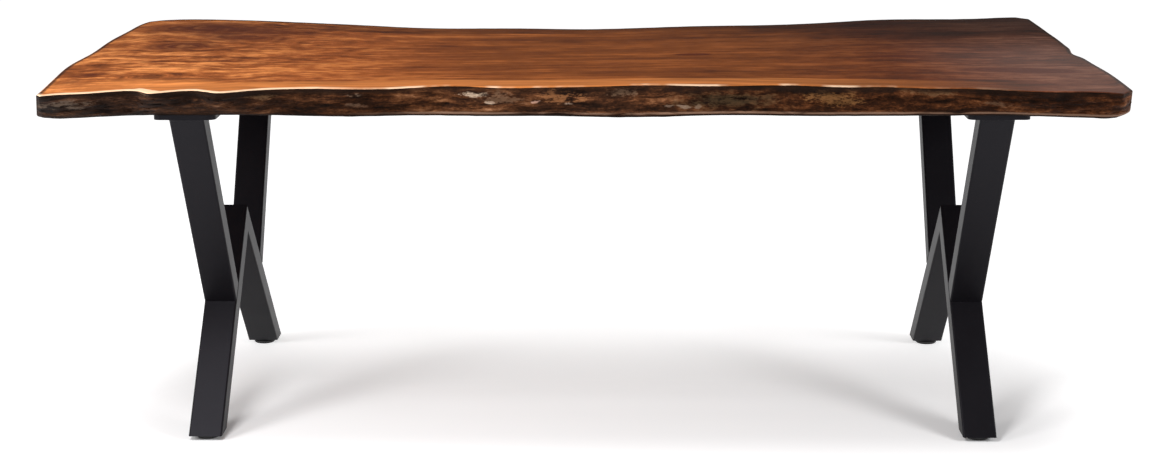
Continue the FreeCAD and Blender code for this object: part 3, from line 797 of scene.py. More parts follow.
class SlabMesh:
    """The slab as one closed mesh: a strip round its edges and a cap above and below."""

    TOP, BARK, END, UNDER = range(4)

    def __init__(self, shape):
        self.shape = shape
        self.columns, self.rows = shape.columns, shape.end_rows
        self.shares = end_shares(self.rows)
        self.top = Outline(SLAB_HIGH.z).ring(self.columns, self.shares)
        self.under = Outline(SLAB_LOW.z).ring(self.columns, self.shares)
        self.stations = len(self.top)
        self.points, self.faces, self.slots, self.places = [], [], [], []
        n, m = self.columns, self.rows
        reach = n // 14
        self.front_line = soften([self.top[k].y for k in range(n + 1)], reach)
        self.rear_line = soften([self.top[2 * n + m - k].y for k in range(n + 1)], reach)
        names = ("across", "front_distance", "rear_distance", "end_distance", "bark", "relief")
        self.fields = {name: [] for name in names}
        self.build_strip()
        self.build_cap(0, 1, self.TOP)
        self.build_cap(self.edge_rows - 1, -1, self.UNDER)

    def add_point(self, point, across, front, rear, end, bark=0.0, relief=0.0):
        low, high = CAD_BOX
        clamped = [min(max(c, a), b) for c, a, b in zip(point, low, high)]
        self.points.append(clamped)
        for name, value in zip(self.fields, (across, front, rear, end, bark, relief)):
            self.fields[name].append(value)
        return len(self.points) - 1

    def column(self, station):
        """The column of the caps that a station of the rim belongs to."""
        n, m = self.columns, self.rows
        if station <= n:
            return station
        return max(min(2 * n + m - station, n), 0)

    def grain_share(self, column, y):
        """Place from front to rear as the grain runs, which passes over the edges' small bends."""
        front, rear = self.front_line[column], self.rear_line[column]
        return (y - front) / (rear - front)

    def from_end(self, station):
        """How far a station of a live edge is from the nearer corner; 0 on the sawn ends."""
        n, m = self.columns, self.rows
        for first, last in ((0, n), (n + m, 2 * n + m)):
            if first < station < last:
                x = self.top[station].x
                return min(abs(x - self.top[first].x), abs(x - self.top[last].x))
        return 0.0

    def near_corner(self, station):
        """1 at the slab's four corners, fading out along the live edges and the ends."""
        n, m = self.columns, self.rows
        reach = 0.12
        corners = [self.top[k] for k in (0, n, n + m, 2 * n + m)]
        gap = min((self.top[station] - corner).length for corner in corners)
        return 1 - smooth(gap, 0.0, reach)

    def on_live_edge(self, station):
        n, m = self.columns, self.rows
        return station <= n or n + m <= station <= 2 * n + m

    def live_share(self, station):
        """Share of the bark's relief, fading at the corners, and the place from front edge to rear edge."""
        n, m, fade = self.columns, self.rows, self.columns * 0.008
        if station <= n:
            return smooth(min(station, n - station), 0, fade), 0.0
        if n + m <= station <= 2 * n + m:
            k = station - n - m
            return smooth(min(k, n - k), 0, fade), 1.0
        return 0.0, self.shares[station - n if station < n + m else 2 * (n + m) - station]

    def outward(self, station):
        """The outline's outward direction, smoothed over a few stations."""
        reach = 3
        ahead = self.top[(station + reach) % self.stations] + self.under[(station + reach) % self.stations]
        behind = self.top[station - reach] + self.under[station - reach]
        run = ahead - behind
        return Vector((run.y, -run.x)).normalized()

    def build_strip(self):
        """The edge faces, row by row from the top rim to the bottom rim."""
        shape = self.shape
        usual = profile_rows(shape, shape.under_round)
        self.edge_rows = len(usual)
        normals = [self.outward(station) for station in range(self.stations)]
        near_corner = [self.near_corner(station) for station in range(self.stations)]
        for row in range(self.edge_rows):
            for station, normal in enumerate(normals):
                live, across = self.live_share(station)
                inset, drop, relief_share = usual[row]
                sanded = smooth(self.top[station].x, SLAB_HIGH.x - 0.05, SLAB_HIGH.x - 0.01)
                if sanded:
                    rounding = shape.under_round + (shape.end_round - shape.under_round) * sanded
                    inset, drop, relief_share = profile_rows(shape, rounding)[row]
                level = drop / SLAB_THICK
                here = self.top[station].lerp(self.under[station], level)
                here.x += math.copysign(shape.corner_flare * level * near_corner[station], here.x)
                height = SLAB_HIGH.z - drop
                # The two live edges take their relief from places far apart in the noise
                offset = 20.0 + 40.0 * across
                depth, tone = bark_relief(here.x, height, offset, shape)
                wobble = noise.noise(Vector((here.x * 34, offset, 0.0))) * shape.rim_wobble
                out = live * (4 * level * (1 - level) * shape.belly + depth * relief_share + wobble) - inset
                if EASED_ROWS <= row < self.edge_rows - 1:
                    height += live * shape.edge_waver * noise.noise(Vector((here.x * 21, offset, 3.0)))
                place = (here.x + normal.x * out, here.y + normal.y * out, height)
                bark = smooth(drop, 0.0, shape.eased_edge) if self.on_live_edge(station) else 0.0
                front, rear = across * NOMINAL_DEPTH, (1 - across) * NOMINAL_DEPTH
                end = self.from_end(station)
                grain = self.grain_share(self.column(station), self.top[station].y)
                self.add_point(place, grain, front, rear, end, bark, tone * relief_share)
        for row in range(self.edge_rows - 1):
            for station in range(self.stations):
                after = (station + 1) % self.stations
                upper, lower = row * self.stations, (row + 1) * self.stations
                corners = (lower + station, lower + after, upper + after, upper + station)
                live = self.on_live_edge(station) and self.on_live_edge(station + 1)
                slot = self.BARK if live else self.END
                self.add_face(corners, slot, self.strip_places(station, row))

    def strip_places(self, station, row):
        """Where an edge face lies on the flat map: each live edge folded into strips."""
        n, m = self.columns, self.rows
        tall = 1 / (self.edge_rows - 1)
        gap = 0.003
        if station < n:
            first, run, strips, low, left, wide, high = 0, n, 3, 0.250, 0.005, 0.990, 0.088
        elif station < n + m:
            first, run, strips, low, left, wide, high = n, m, 1, 0.205, 0.005, 0.490, 0.036
        elif station < 2 * n + m:
            first, run, strips, low, left, wide, high = n + m, n, 4, 0.005, 0.505, 0.490, 0.045
        else:
            first, run, strips, low, left, wide, high = 2 * n + m, m, 1, 0.205, 0.505, 0.490, 0.036
        each = math.ceil(run / strips)
        strip, k = divmod(station - first, each)
        a, b = left + wide * k / each, left + wide * (k + 1) / each
        base = low + strip * (high + gap)
        upper, lower = base + high * (1 - row * tall), base + high * (1 - (row + 1) * tall)
        return ((a, lower), (b, lower), (b, upper), (a, upper))

    def add_face(self, corners, slot, places):
        self.faces.append(corners)
        self.slots.append(slot)
        self.places.extend(places)

    def cap_columns(self, j):
        """Columns in a row of a cap: every column at the live edges, fewer inside."""
        depth = min(j, self.rows - j)
        return self.columns >> min(max(depth - 1, 0), 3)

    def build_cap(self, row, way, slot):
        """A cap that closes the strip's rim, its rows running from the front edge to the rear one."""
        n, m, base = self.columns, self.rows, row * self.stations
        rim = [Vector(self.points[base + k]) for k in range(self.stations)]
        front = [rim[k] for k in range(n + 1)]
        rear = [rim[2 * n + m - k] for k in range(n + 1)]
        left = [rim[-j] for j in range(m + 1)]
        right = [rim[n + j] for j in range(m + 1)]
        index = []
        for j in range(m + 1):
            count = self.cap_columns(j)
            line = []
            for i in range(count + 1):
                k = i * n // count
                if j == 0:
                    line.append(base + k)
                elif j == m:
                    line.append(base + 2 * n + m - k)
                elif i == 0:
                    line.append(base + self.stations - j)
                elif i == count:
                    line.append(base + n + j)
                else:
                    s, t = k / n, self.shares[j]
                    edges = front[k] * (1 - t) + rear[k] * t + left[j] * (1 - s) + right[j] * s
                    near = front[0] * (1 - s) + front[n] * s
                    far = rear[0] * (1 - s) + rear[n] * s
                    point = edges - near * (1 - t) - far * t
                    end = min(point.x - left[j].x, right[j].x - point.x)
                    grain = self.grain_share(k, point.y)
                    from_front, from_rear = point.y - front[k].y, rear[k].y - point.y
                    line.append(self.add_point(point, grain, from_front, from_rear, end))
            index.append(line)
        for j in range(m):
            here, there = index[j], index[j + 1]
            for corners, spots in self.cap_faces(here, there, j):
                if way < 0:
                    corners, spots = corners[::-1], spots[::-1]
                self.add_face(corners, slot, [self.cap_place(s, t, slot) for s, t in spots])

    def cap_faces(self, here, there, j):
        """Faces between two rows of a cap; where one row is coarser, faces have five corners."""
        fine, coarse = len(here) - 1, len(there) - 1
        t, u = self.shares[j], self.shares[j + 1]
        for i in range(min(fine, coarse)):
            if fine == coarse:
                corners = (here[i], here[i + 1], there[i + 1], there[i])
                shares = ((i / fine, t), ((i + 1) / fine, t), ((i + 1) / fine, u), (i / fine, u))
            elif fine > coarse:
                corners = (here[2 * i], here[2 * i + 1], here[2 * i + 2], there[i + 1], there[i])
                shares = ((i / coarse, t), ((i + 0.5) / coarse, t), ((i + 1) / coarse, t),
                          ((i + 1) / coarse, u), (i / coarse, u))
            else:
                corners = (here[i], here[i + 1], there[2 * i + 2], there[2 * i + 1], there[2 * i])
                shares = ((i / fine, t), ((i + 1) / fine, t), ((i + 1) / fine, u),
                          ((i + 0.5) / fine, u), (i / fine, u))
            yield corners, shares

    def cap_place(self, s, t, slot):
        """Where a cap's corner lies on the flat map."""
        if slot == self.TOP:
            return 0.005 + 0.990 * s, 0.530 + 0.465 * t
        return 0.005 + 0.490 * s, 0.005 + 0.190 * t

    def make(self, name, materials):
        """The mesh, with its fields as attributes and its flat map as a UV map."""
        mesh = bpy.data.meshes.new(name)
        mesh.from_pydata(self.points, [], self.faces)
        mesh.polygons.foreach_set("material_index", self.slots)
        mesh.polygons.foreach_set("use_smooth", [True] * len(self.faces))
        for field, values in self.fields.items():
            mesh.attributes.new(field, "FLOAT", "POINT").data.foreach_set("value", values)
        flat = mesh.uv_layers.new(name="OFBake")
        flat.uv.foreach_set("vector", [c for place in self.places for c in place])
        for material in materials:
            mesh.materials.append(material)
        mesh.update()
        return mesh


def knots_on(slab):
    """The knots with their place across the slab as the grain has it."""
    first, last = slab.top[0].x, slab.top[slab.columns].x
    placed = []
    for x, y, reach, width, depth, push in KNOTS:
        column = round((x - first) / (last - first) * slab.columns)
        placed.append((x, slab.grain_share(column, y) * NOMINAL_DEPTH, reach, width, depth, push))
    return placed


# ---------------------------------------------------------------- grown pieces


def add_piece(name, mesh, body, slot, *nodes):
    """A finished piece in the scene: what it rides on and the nodes that it stands for; its slot is not
    used.
    """
    piece = bpy.data.objects.new(name, mesh)
    bpy.context.scene.collection.objects.link(piece)
    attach(piece, body)
    if nodes:
        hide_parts(*nodes)
    return piece


def growing_tree(name, sizes):
    """An empty Geometry Nodes tree with a geometry input and one named input per size."""
    tree = bpy.data.node_groups.new(name, "GeometryNodeTree")
    tree.interface.new_socket("Geometry", in_out="INPUT", socket_type="NodeSocketGeometry")
    for size in sizes:
        tree.interface.new_socket(size, in_out="INPUT", socket_type="NodeSocketFloat")
    tree.interface.new_socket("Material", in_out="INPUT", socket_type="NodeSocketMaterial")
    tree.interface.new_socket("Geometry", in_out="OUTPUT", socket_type="NodeSocketGeometry")
    nodes = Nodes(tree)
    given = nodes.add("NodeGroupInput")
    return tree, nodes, {socket.name: Wire(nodes, socket) for socket in given.outputs if socket.name}


def end_tree(nodes, geometry, material):
    """Ends a tree: instances made real, smooth, and given their material."""
    real = nodes.wire("GeometryNodeRealizeInstances", 0, None, {0: geometry})
    soft = nodes.wire("GeometryNodeSetShadeSmooth", 0, None, {0: real})
    coated = nodes.wire("GeometryNodeSetMaterial", 0, None, {"Geometry": soft, "Material": material})
    nodes.add("NodeGroupOutput", None, {0: coated})


def grow(tree, source, values):
    """The mesh that a tree grows from a source mesh with these inputs."""
    seedling = bpy.data.objects.new("seedling", source)
    bpy.context.scene.collection.objects.link(seedling)
    modifier = seedling.modifiers.new("Grow", "NODES")
    modifier.node_group = tree
    for item in tree.interface.items_tree:
        if item.in_out == "INPUT" and item.name in values:
            modifier[item.identifier] = values[item.name]
    depsgraph = bpy.context.evaluated_depsgraph_get()
    grown = bpy.data.meshes.new_from_object(seedling.evaluated_get(depsgraph), depsgraph=depsgraph)
    seedling.modifiers.remove(modifier)
    bpy.data.objects.remove(seedling)
    return grown


def islands(node):
    """The separate solids of a CAD node, each as a list of its points."""
    mesh = bmesh.new()
    mesh.from_mesh(frame["nodes"][node].data)
    bmesh.ops.remove_doubles(mesh, verts=mesh.verts, dist=MERGE)
    waiting, found = set(mesh.verts), []
    while waiting:
        reached = [waiting.pop()]
        for vert in reached:
            for edge in vert.link_edges:
                other = edge.other_vert(vert)
                if other in waiting:
                    waiting.remove(other)
                    reached.append(other)
        found.append([vert.co.copy() for vert in reached])
    mesh.free()
    return found


def weld_tree():
    """Overlapping ripples along each seam, like a hand-laid bead."""
    tree, nodes, given = growing_tree("weld_ripples", ("Spacing", "Width", "Length"))
    curve = nodes.wire("GeometryNodeMeshToCurve", 0, None, {0: given["Geometry"]})
    even = nodes.wire(
        "GeometryNodeResampleCurve", 0, {"mode": "LENGTH"}, {"Curve": curve, "Length": given["Spacing"]}
    )
    ripple = nodes.wire("GeometryNodeMeshIcoSphere", 0, None, {"Radius": 1.0, "Subdivisions": 2})
    width = given["Width"] * nodes.random(0.9, 1.1, 4)
    tilt = nodes.point(0.0, nodes.random(0.25, 0.42, 9), 0.0)
    beads = nodes.instances(even, ripple, tilt, nodes.point(given["Length"], width, width))
    end_tree(nodes, beads, given["Material"])
    return tree


def bolt_tree():
    """A bolt on every point, each turned by its own angle as the spanner left it."""
    tree, nodes, given = growing_tree("set_bolts", ("Turn",))
    places = nodes.wire("GeometryNodeMeshToPoints", 0, None, {0: given["Geometry"]})
    turned = nodes.point(0.0, 0.0, nodes.random(0.0, given["Turn"], 3))
    bolts = nodes.instances(places, nodes.solid("loose_bolt"), turned)
    end_tree(nodes, bolts, given["Material"])
    return tree


def thread_tree():
    """A screw thread wound round a turned stud."""
    tree, nodes, given = growing_tree("wound_thread", ("Radius", "Depth", "Turns", "Height", "Foot"))
    middle = given["Radius"] - given["Depth"]
    winding = nodes.wire(
        "GeometryNodeCurveSpiral",
        0,
        None,
        {
            "Resolution": 20,
            "Rotations": given["Turns"],
            "Start Radius": middle,
            "End Radius": middle,
            "Height": given["Height"],
        },
    )
    upright = nodes.wire("GeometryNodeSetCurveNormal", 0, {"mode": "Z_UP"}, {0: winding})
    ridge = nodes.wire(
        "GeometryNodeCurvePrimitiveCircle", 0, None, {"Resolution": 4, "Radius": given["Depth"]}
    )
    thread = nodes.wire("GeometryNodeCurveToMesh", 0, None, {0: upright, 1: ridge, "Fill Caps": True})
    raised = nodes.wire(
        "GeometryNodeTransform",
        0,
        None,
        {"Geometry": thread, "Translation": nodes.point(0.0, 0.0, given["Foot"])},
    )
    whole = nodes.add("GeometryNodeJoinGeometry")
    nodes.feed(whole.inputs[0], given["Geometry"])
    nodes.feed(whole.inputs[0], raised)
    end_tree(nodes, Wire(nodes, whole.outputs[0]), given["Material"])
    return tree


def flake_tree():
    """Flakes of bark scattered over the live edges, lying along the grain."""
    tree, nodes, given = growing_tree("bark_flakes", ("Density", "Length", "Width", "Thickness"))
    scatter = nodes.add(
        "GeometryNodeDistributePointsOnFaces",
        {"distribute_method": "RANDOM"},
        {"Mesh": given["Geometry"], "Density": given["Density"], "Seed": 12},
    )
    flat = nodes.wire(
        "FunctionNodeAlignRotationToVector", 0, {"axis": "Z"}, {"Vector": scatter.outputs["Normal"]}
    )
    turned = nodes.wire(
        "FunctionNodeAlignRotationToVector",
        0,
        {"axis": "X", "pivot_axis": "Z"},
        {"Rotation": flat, "Vector": (1.0, 0.0, 0.0)},
    )
    length = given["Length"] * nodes.random(0.35, 1.0, 21)
    width = given["Width"] * nodes.random(0.5, 1.0, 22)
    size = nodes.point(length, width, given["Thickness"])
    flakes = nodes.instances(scatter.outputs[0], nodes.solid("loose_flake"), turned, size)
    end_tree(nodes, flakes, given["Material"])
    return tree


def loose(name, mesh):
    """A hidden part that a tree repeats."""
    part = bpy.data.objects.new(name, mesh)
    bpy.context.scene.collection.objects.link(part)
    return part


def ringed_solid(name, rings, steps=24):
    """A closed solid about the upright axis through rings of (height, radius, flats); flats 0 is round."""
    mesh = bmesh.new()
    loops = []
    for height, radius, flats in rings:
        loop = []
        for k in range(steps):
            turn = math.tau * k / steps
            to_flat = (turn % (math.pi / 3)) - math.pi / 6
            reach = min(radius, flats / 2 / math.cos(to_flat)) if flats else radius
            loop.append(mesh.verts.new((reach * math.cos(turn), reach * math.sin(turn), height)))
        loops.append(loop)
    for lower, upper in zip(loops, loops[1:]):
        for k in range(steps):
            after = (k + 1) % steps
            mesh.faces.new((lower[k], lower[after], upper[after], upper[k]))
    mesh.faces.new(loops[0][::-1])
    mesh.faces.new(loops[-1])
    made = bpy.data.meshes.new(name)
    mesh.to_mesh(made)
    mesh.free()
    return made


def flake_mesh():
    """One curled flake of bark, one unit across: an uneven pebble that is flattened as it's scattered."""
    mesh = bmesh.new()
    bmesh.ops.create_icosphere(mesh, subdivisions=1, radius=0.5)
    for vert in mesh.verts:
        vert.co *= 1 + 0.35 * noise.noise(vert.co * 4)
        vert.co.z += 0.5 * vert.co.x * vert.co.x
    made = bpy.data.meshes.new("flake")
    mesh.to_mesh(made)
    mesh.free()
    return made


def live_edge_patch(slab):
    """The live edges alone, as the ground that flakes are scattered on."""
    mesh = bmesh.new()
    mesh.from_mesh(slab.data)
    top, low = SLAB_HIGH.z - 0.008, SLAB_LOW.z + 0.010
    apart = [
        face
        for face in mesh.faces
        if face.material_index != SlabMesh.BARK or not low < face.calc_center_median().z < top
    ]
    bmesh.ops.delete(mesh, geom=apart, context="FACES")
    made = bpy.data.meshes.new("live_edge_patch")
    mesh.to_mesh(made)
    mesh.free()
    return made


# ---------------------------------------------------------------- settings


def colour_size(name, description, default):
    return FloatVectorProperty(
        name=name, description=description, default=default, subtype="COLOR", size=3, min=0.0, max=1.0
    )


def plain_size(name, description, default, **more):
    return FloatProperty(name=name, description=description, default=default, **more)


def length_size(name, description, default):
    return plain_size(name, description, default, unit="LENGTH", precision=5)


def angle_size(name, description, degrees):
    return plain_size(name, description, math.radians(degrees), subtype="ANGLE")


class SlabShape(bpy.types.PropertyGroup):
    """Shape of the slab's edges."""

    columns: IntProperty(name="Columns", description="Mesh columns along each live edge", default=1024)
    end_rows: IntProperty(name="End rows", description="Mesh rows across each sawn end", default=96)
    face_rows: IntProperty(name="Face rows", description="Mesh rows down an edge's face", default=17)
    eased_edge: length_size("Eased edge", "Radius of the eased top edge", 0.0035)
    under_round: length_size("Under rounding", "Radius along the lower edge", 0.006)
    end_round: length_size("End rounding", "Radius along the right end's lower edge", 0.012)
    corner_flare: length_size("Corner flare", "How far the lower corners stand out lengthwise", 0.005)
    belly: length_size("Belly", "How far the edges swell at half height", 0.006)
    lump_depth: length_size("Lumps", "Relief of the large lumps in the bark", 0.0050)
    plate_depth: length_size("Plates", "Relief of the bark's flaky plates", 0.0042)
    fibre_depth: length_size("Fibres", "Relief of the bark's fine fibres", 0.0014)
    rim_wobble: length_size("Rim wobble", "How unevenly the top rim runs", 0.0016)
    edge_waver: length_size("Edge waver", "How far the rows down the bark rise and fall", 0.0016)


class WoodColours(bpy.types.PropertyGroup):
    """Colours of the oiled wood."""

    left_deep: colour_size("Left, deep", "Darkest grain at the left end", (0.080, 0.018, 0.0045))
    left_light: colour_size("Left, light", "Usual colour at the left end", (0.315, 0.086, 0.020))
    left_warm: colour_size("Left, warm", "Usual colour a quarter of the way along", (0.296, 0.075, 0.016))
    left_bright: colour_size("Left, bright", "Brightest grain at the left end", (0.80, 0.29, 0.085))
    middle_deep: colour_size("Middle, deep", "Darkest grain in the middle", (0.090, 0.021, 0.0050))
    middle_light: colour_size("Middle, light", "Usual colour in the middle", (0.180, 0.047, 0.0090))
    middle_bright: colour_size("Middle, bright", "Brightest grain in the middle", (0.46, 0.135, 0.030))
    right_deep: colour_size("Right, deep", "Darkest grain right of the middle", (0.042, 0.011, 0.0040))
    right_light: colour_size("Right, light", "Usual colour right of the middle", (0.112, 0.025, 0.0068))
    right_bright: colour_size("Right, bright", "Brightest grain right of the middle", (0.28, 0.080, 0.021))
    # The far right colours hold a painted sheen as well as the wood's own colour
    far_right_deep: colour_size("Far right, deep", "Darkest grain at the right end", (0.046, 0.016, 0.0090))
    far_right_light: colour_size("Far right, light", "Usual colour at the right end", (0.124, 0.040, 0.020))
    far_right_bright: colour_size("Far right, bright", "Brightest at the right end", (0.27, 0.120, 0.077))
    sapwood: colour_size("Sapwood", "Sapwood along the front edge", (0.450, 0.150, 0.039))
    knot: colour_size("Knots", "Heart of a knot or a stain", (0.072, 0.0135, 0.0045))
    # Painted highlight on the eased front rim, written as a pale sapwood colour
    lip_highlight: colour_size("Pale lip", "Bare lip along the front rim", (0.86, 0.60, 0.40))
    # Used along the rear rim and round both sawn ends
    dark_rim: colour_size("Dark rim", "Bark that shows along the rear rim", (0.022, 0.011, 0.007))
    roughness: plain_size("Roughness", "Roughness of the oiled wood", 0.50)
    gloss: plain_size("Gloss", "Specular level of the oiled wood", 0.001)
    oil_build: plain_size("Oil build", "Coat weight of the satin oil", 0.008)
    right_build: plain_size("Right build", "Coat weight added to the right", 0.14)
    rings_per_metre: plain_size("Rings", "Growth rings in each metre", 26.0)
    grain_drift: length_size("Grain drift", "How far the grain wanders across the slab", 0.16)
    curl: length_size("Curl", "How far the figured grain at the left swirls", 0.09)


class BarkColours(bpy.types.PropertyGroup):
    """Colours of the live edges."""

    # Also the colour of the painted shade under the top rim and on the lower rounding
    pit_and_shade: colour_size("Pits", "Deep pits and cracks", (0.0085, 0.0044, 0.0029))
    dark: colour_size("Dark bark", "Most of the bark", (0.040, 0.0180, 0.0095))
    brown: colour_size("Brown bark", "Lighter plates", (0.112, 0.050, 0.0235))
    worn: colour_size("Worn bark", "Ridges rubbed in handling", (0.25, 0.128, 0.068))
    exposed: colour_size("Exposed wood", "Wood where bark has gone", (0.46, 0.28, 0.175))
    lip: colour_size("Lower lip", "The thin lip above the lower rounding", (0.20, 0.115, 0.075))
    left_tint: colour_size("Left tint", "Greyer bark at the left end", (0.58, 0.58, 0.63))
    near_left_tint: colour_size("Near left tint", "Darkest bark, left of the middle", (0.49, 0.37, 0.27))
    middle_tint: colour_size("Middle tint", "Warm bark in the middle", (1.0, 0.84, 0.72))
    right_tint: colour_size("Right tint", "Olive bark to the right", (0.55, 0.40, 0.29))
    gloss: plain_size("Gloss", "Specular level of the bark", 0.03)
    roughness: plain_size("Roughness", "Roughness of the bark", 0.62)
    flakes: plain_size("Flakes", "Flakes on each square metre", 900.0)
    flake_length: length_size("Flake length", "Longest flake", 0.034)
    flake_width: length_size("Flake width", "Widest flake", 0.0048)
    flake_thickness: length_size("Flake thickness", "Thickness of a flake", 0.0026)


class SteelFinish(bpy.types.PropertyGroup):
    """Finish of the leg frames and their hardware."""

    coat: colour_size("Powder coat", "Colour of the powder coat", (0.0034, 0.0029, 0.0038))
    coat_sheen: colour_size("Coat sheen", "Tint of what the coat reflects", (0.90, 0.88, 1.0))
    coat_roughness: plain_size("Coat roughness", "Roughness of the coat", 0.44)
    coat_gloss: plain_size("Coat gloss", "Specular level of the coat", 0.14)
    zinc: colour_size("Zinc", "Colour of the zinc plate", (0.56, 0.57, 0.60))
    weld_spacing: length_size("Weld ripple spacing", "From one weld ripple to the next", 0.0023)
    weld_width: length_size("Weld width", "Half the width of a weld bead", 0.0036)
    weld_length: length_size("Weld ripple length", "Half the length of a weld ripple", 0.0024)
    head_flats: length_size("Bolt head flats", "Across the flats of a bolt head", 0.013)
    head_height: length_size("Bolt head height", "Height of a bolt head", 0.0053)
    collar_flats: length_size("Collar flats", "Across the flats of a stud's collar", 0.016)
    thread_pitch: length_size("Thread pitch", "Pitch of a levelling stud", 0.0015)
    thread_depth: length_size("Thread depth", "Half the depth of its thread", 0.00045)


class StageSettings(bpy.types.PropertyGroup):
    """Floor, lamps and camera."""

    floor_size: length_size("Floor size", "Side of the floor", 60.0)
    floor_colour: colour_size("Floor", "Colour of the floor", (0.80, 0.795, 0.80))
    near_glow: plain_size("Near glow", "Whiteness shown by the floor under the table", 0.02)
    far_glow: plain_size("Far glow", "Whiteness shown by the floor round it", 0.75)
    shade_length: length_size("Shade length", "Half the length of the floor's shaded part", 0.85)
    shade_front: length_size("Shade front", "Where its full shade starts in front", -0.35)
    shade_rear: length_size("Shade rear", "Where its full shade ends towards the back", -0.25)
    side_fade: length_size("Side fade", "How far the shade fades out at each side", 0.55)
    front_fade: length_size("Front fade", "How far it fades out to the front", 0.50)
    rear_fade: length_size("Rear fade", "How far it fades out to the back", 0.85)
    sky: plain_size("Sky", "Strength of the studio's soft light", 0.34)
    ceiling: plain_size("Ceiling", "Whiteness of the ceiling in reflections", 0.35)
    key_power: plain_size("Key", "Power of the front softbox", 80.0, unit="POWER")
    side_power: plain_size("Sides", "Power of each side softbox", 60.0, unit="POWER")
    lens: plain_size("Lens", "Focal length in millimetres", 64.66)
    eye: FloatVectorProperty(
        name="Eye",
        description="Where the camera stands",
        default=(0.0599, -4.5874, 1.3843),
        subtype="TRANSLATION",
    )
    pitch: angle_size("Pitch", "How far the camera looks down", 12.652)
    yaw: angle_size("Yaw", "How far the camera looks to the right", -0.790)
    roll: angle_size("Roll", "How far the camera leans", -0.1405)


# ---------------------------------------------------------------- operators


class TABLE_OT_slab(bpy.types.Operator):
    """Builds the live edge slab"""

    bl_idname = "table.slab"
    bl_label = "Live edge slab"

    def execute(self, context):
        scene = context.scene
        wood, bark = scene.table_wood, scene.table_bark
        slab = SlabMesh(scene.table_slab)
        finishes = (
            top_finish(wood, knots_on(slab)),
            bark_finish(wood, bark),
            sawn_end_finish(wood),
            underside_finish(wood),
        )
        mesh = slab.make("live_edge_slab", finishes)
        add_piece("live_edge_slab", mesh, "table", "live_edge_wood", SLAB)
        return {"FINISHED"}


class TABLE_OT_flakes(bpy.types.Operator):
    """Scatters flakes of bark over the live edges"""

    bl_idname = "table.flakes"
    bl_label = "Bark flakes"

    def execute(self, context):
        bark = context.scene.table_bark
        slab = bpy.data.objects["live_edge_slab"]
        flake = loose("loose_flake", flake_mesh())
        values = {
            "Density": bark.flakes,
            "Length": bark.flake_length,
            "Width": bark.flake_width,
            "Thickness": bark.flake_thickness,
            "Material": flake_finish(bark),
        }
        mesh = grow(flake_tree(), live_edge_patch(slab), values)
        bpy.data.objects.remove(flake)
        add_piece("bark_flakes", mesh, "table", "live_edge_wood")
        return {"FINISHED"}


class TABLE_OT_steel(bpy.types.Operator):
    """Finishes the steel, zinc and rubber parts of the construction"""

    bl_idname = "table.steel"
    bl_label = "Steel finishes"

    def execute(self, context):
        steel = context.scene.table_steel
        finishes = {
            "black_powder_coat": powder_coat_finish(steel),
            "zinc_steel": zinc_finish(steel),
            "black_foot_disc": black_oxide_finish(),
            "foot_rubber": rubber_finish(),
        }
        for subpart in frame["record"]["subparts"]:
            finish = finishes.get(subpart["material_slot"])
            if finish:
                mesh = frame["nodes"][subpart["node"]].data
                mesh.materials.clear()
                mesh.materials.append(finish)
        return {"FINISHED"}


class TABLE_OT_welds(bpy.types.Operator):
    """Lays rippled weld beads along the seams of both leg frames"""

    bl_idname = "table.welds"
    bl_label = "Weld beads"

    def execute(self, context):
        steel = context.scene.table_steel
        tree = weld_tree()
        values = {
            "Spacing": steel.weld_spacing,
            "Width": steel.weld_width,
            "Length": steel.weld_length,
            "Material": bpy.data.materials["satin_powder_coat"],
        }
        for side in SIDES:
            node = f"weld_beads_{side}"
            seams = bpy.data.meshes.new("seams")
            ends = []
            for island in islands(node):
                middle = sum(island, Vector()) / len(island)
                ends.append((min(p.x for p in island) + steel.weld_length, middle.y, middle.z))
                ends.append((max(p.x for p in island) - steel.weld_length, middle.y, middle.z))
            seams.from_pydata(ends, [(k, k + 1) for k in range(0, len(ends), 2)], [])
            add_piece(f"weld_ripples_{side}", grow(tree, seams, values), "table", "black_powder_coat", node)
        return {"FINISHED"}


class TABLE_OT_bolts(bpy.types.Operator):
    """Sets the hexagon bolts that hold each frame to the slab"""

    bl_idname = "table.bolts"
    bl_label = "Plate bolts"

    def execute(self, context):
        steel = context.scene.table_steel
        flats, head = steel.head_flats, steel.head_height
        low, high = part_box(f"plate_bolts_{SIDES[0]}")
        length = high.z - low.z - head
        shank = 0.004
        tip = 0.001
        bevel = 0.0009
        washer_face = 0.0003
        step = 0.00001
        rings = (
            (-head, flats * 0.47, 0.0),
            (-head + bevel, flats, flats),
            (-washer_face, flats, flats),
            (0.0, flats * 0.49, 0.0),
            (step, shank, 0.0),
            (length - tip, shank, 0.0),
            (length, shank - tip, 0.0),
        )
        bolt = loose("loose_bolt", ringed_solid("hex_bolt", rings))
        tree = bolt_tree()
        values = {"Turn": math.pi / 3, "Material": bpy.data.materials["zinc_plate"]}
        for side in SIDES:
            node = f"plate_bolts_{side}"
            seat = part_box(node)[0].z + head
            places = bpy.data.meshes.new("bolt_places")
            middles = [sum(island, Vector()) / len(island) for island in islands(node)]
            places.from_pydata([(m.x, m.y, seat) for m in middles], [], [])
            add_piece(f"hex_bolts_{side}", grow(tree, places, values), "table", "zinc_steel", node)
        bpy.data.objects.remove(bolt)
        return {"FINISHED"}


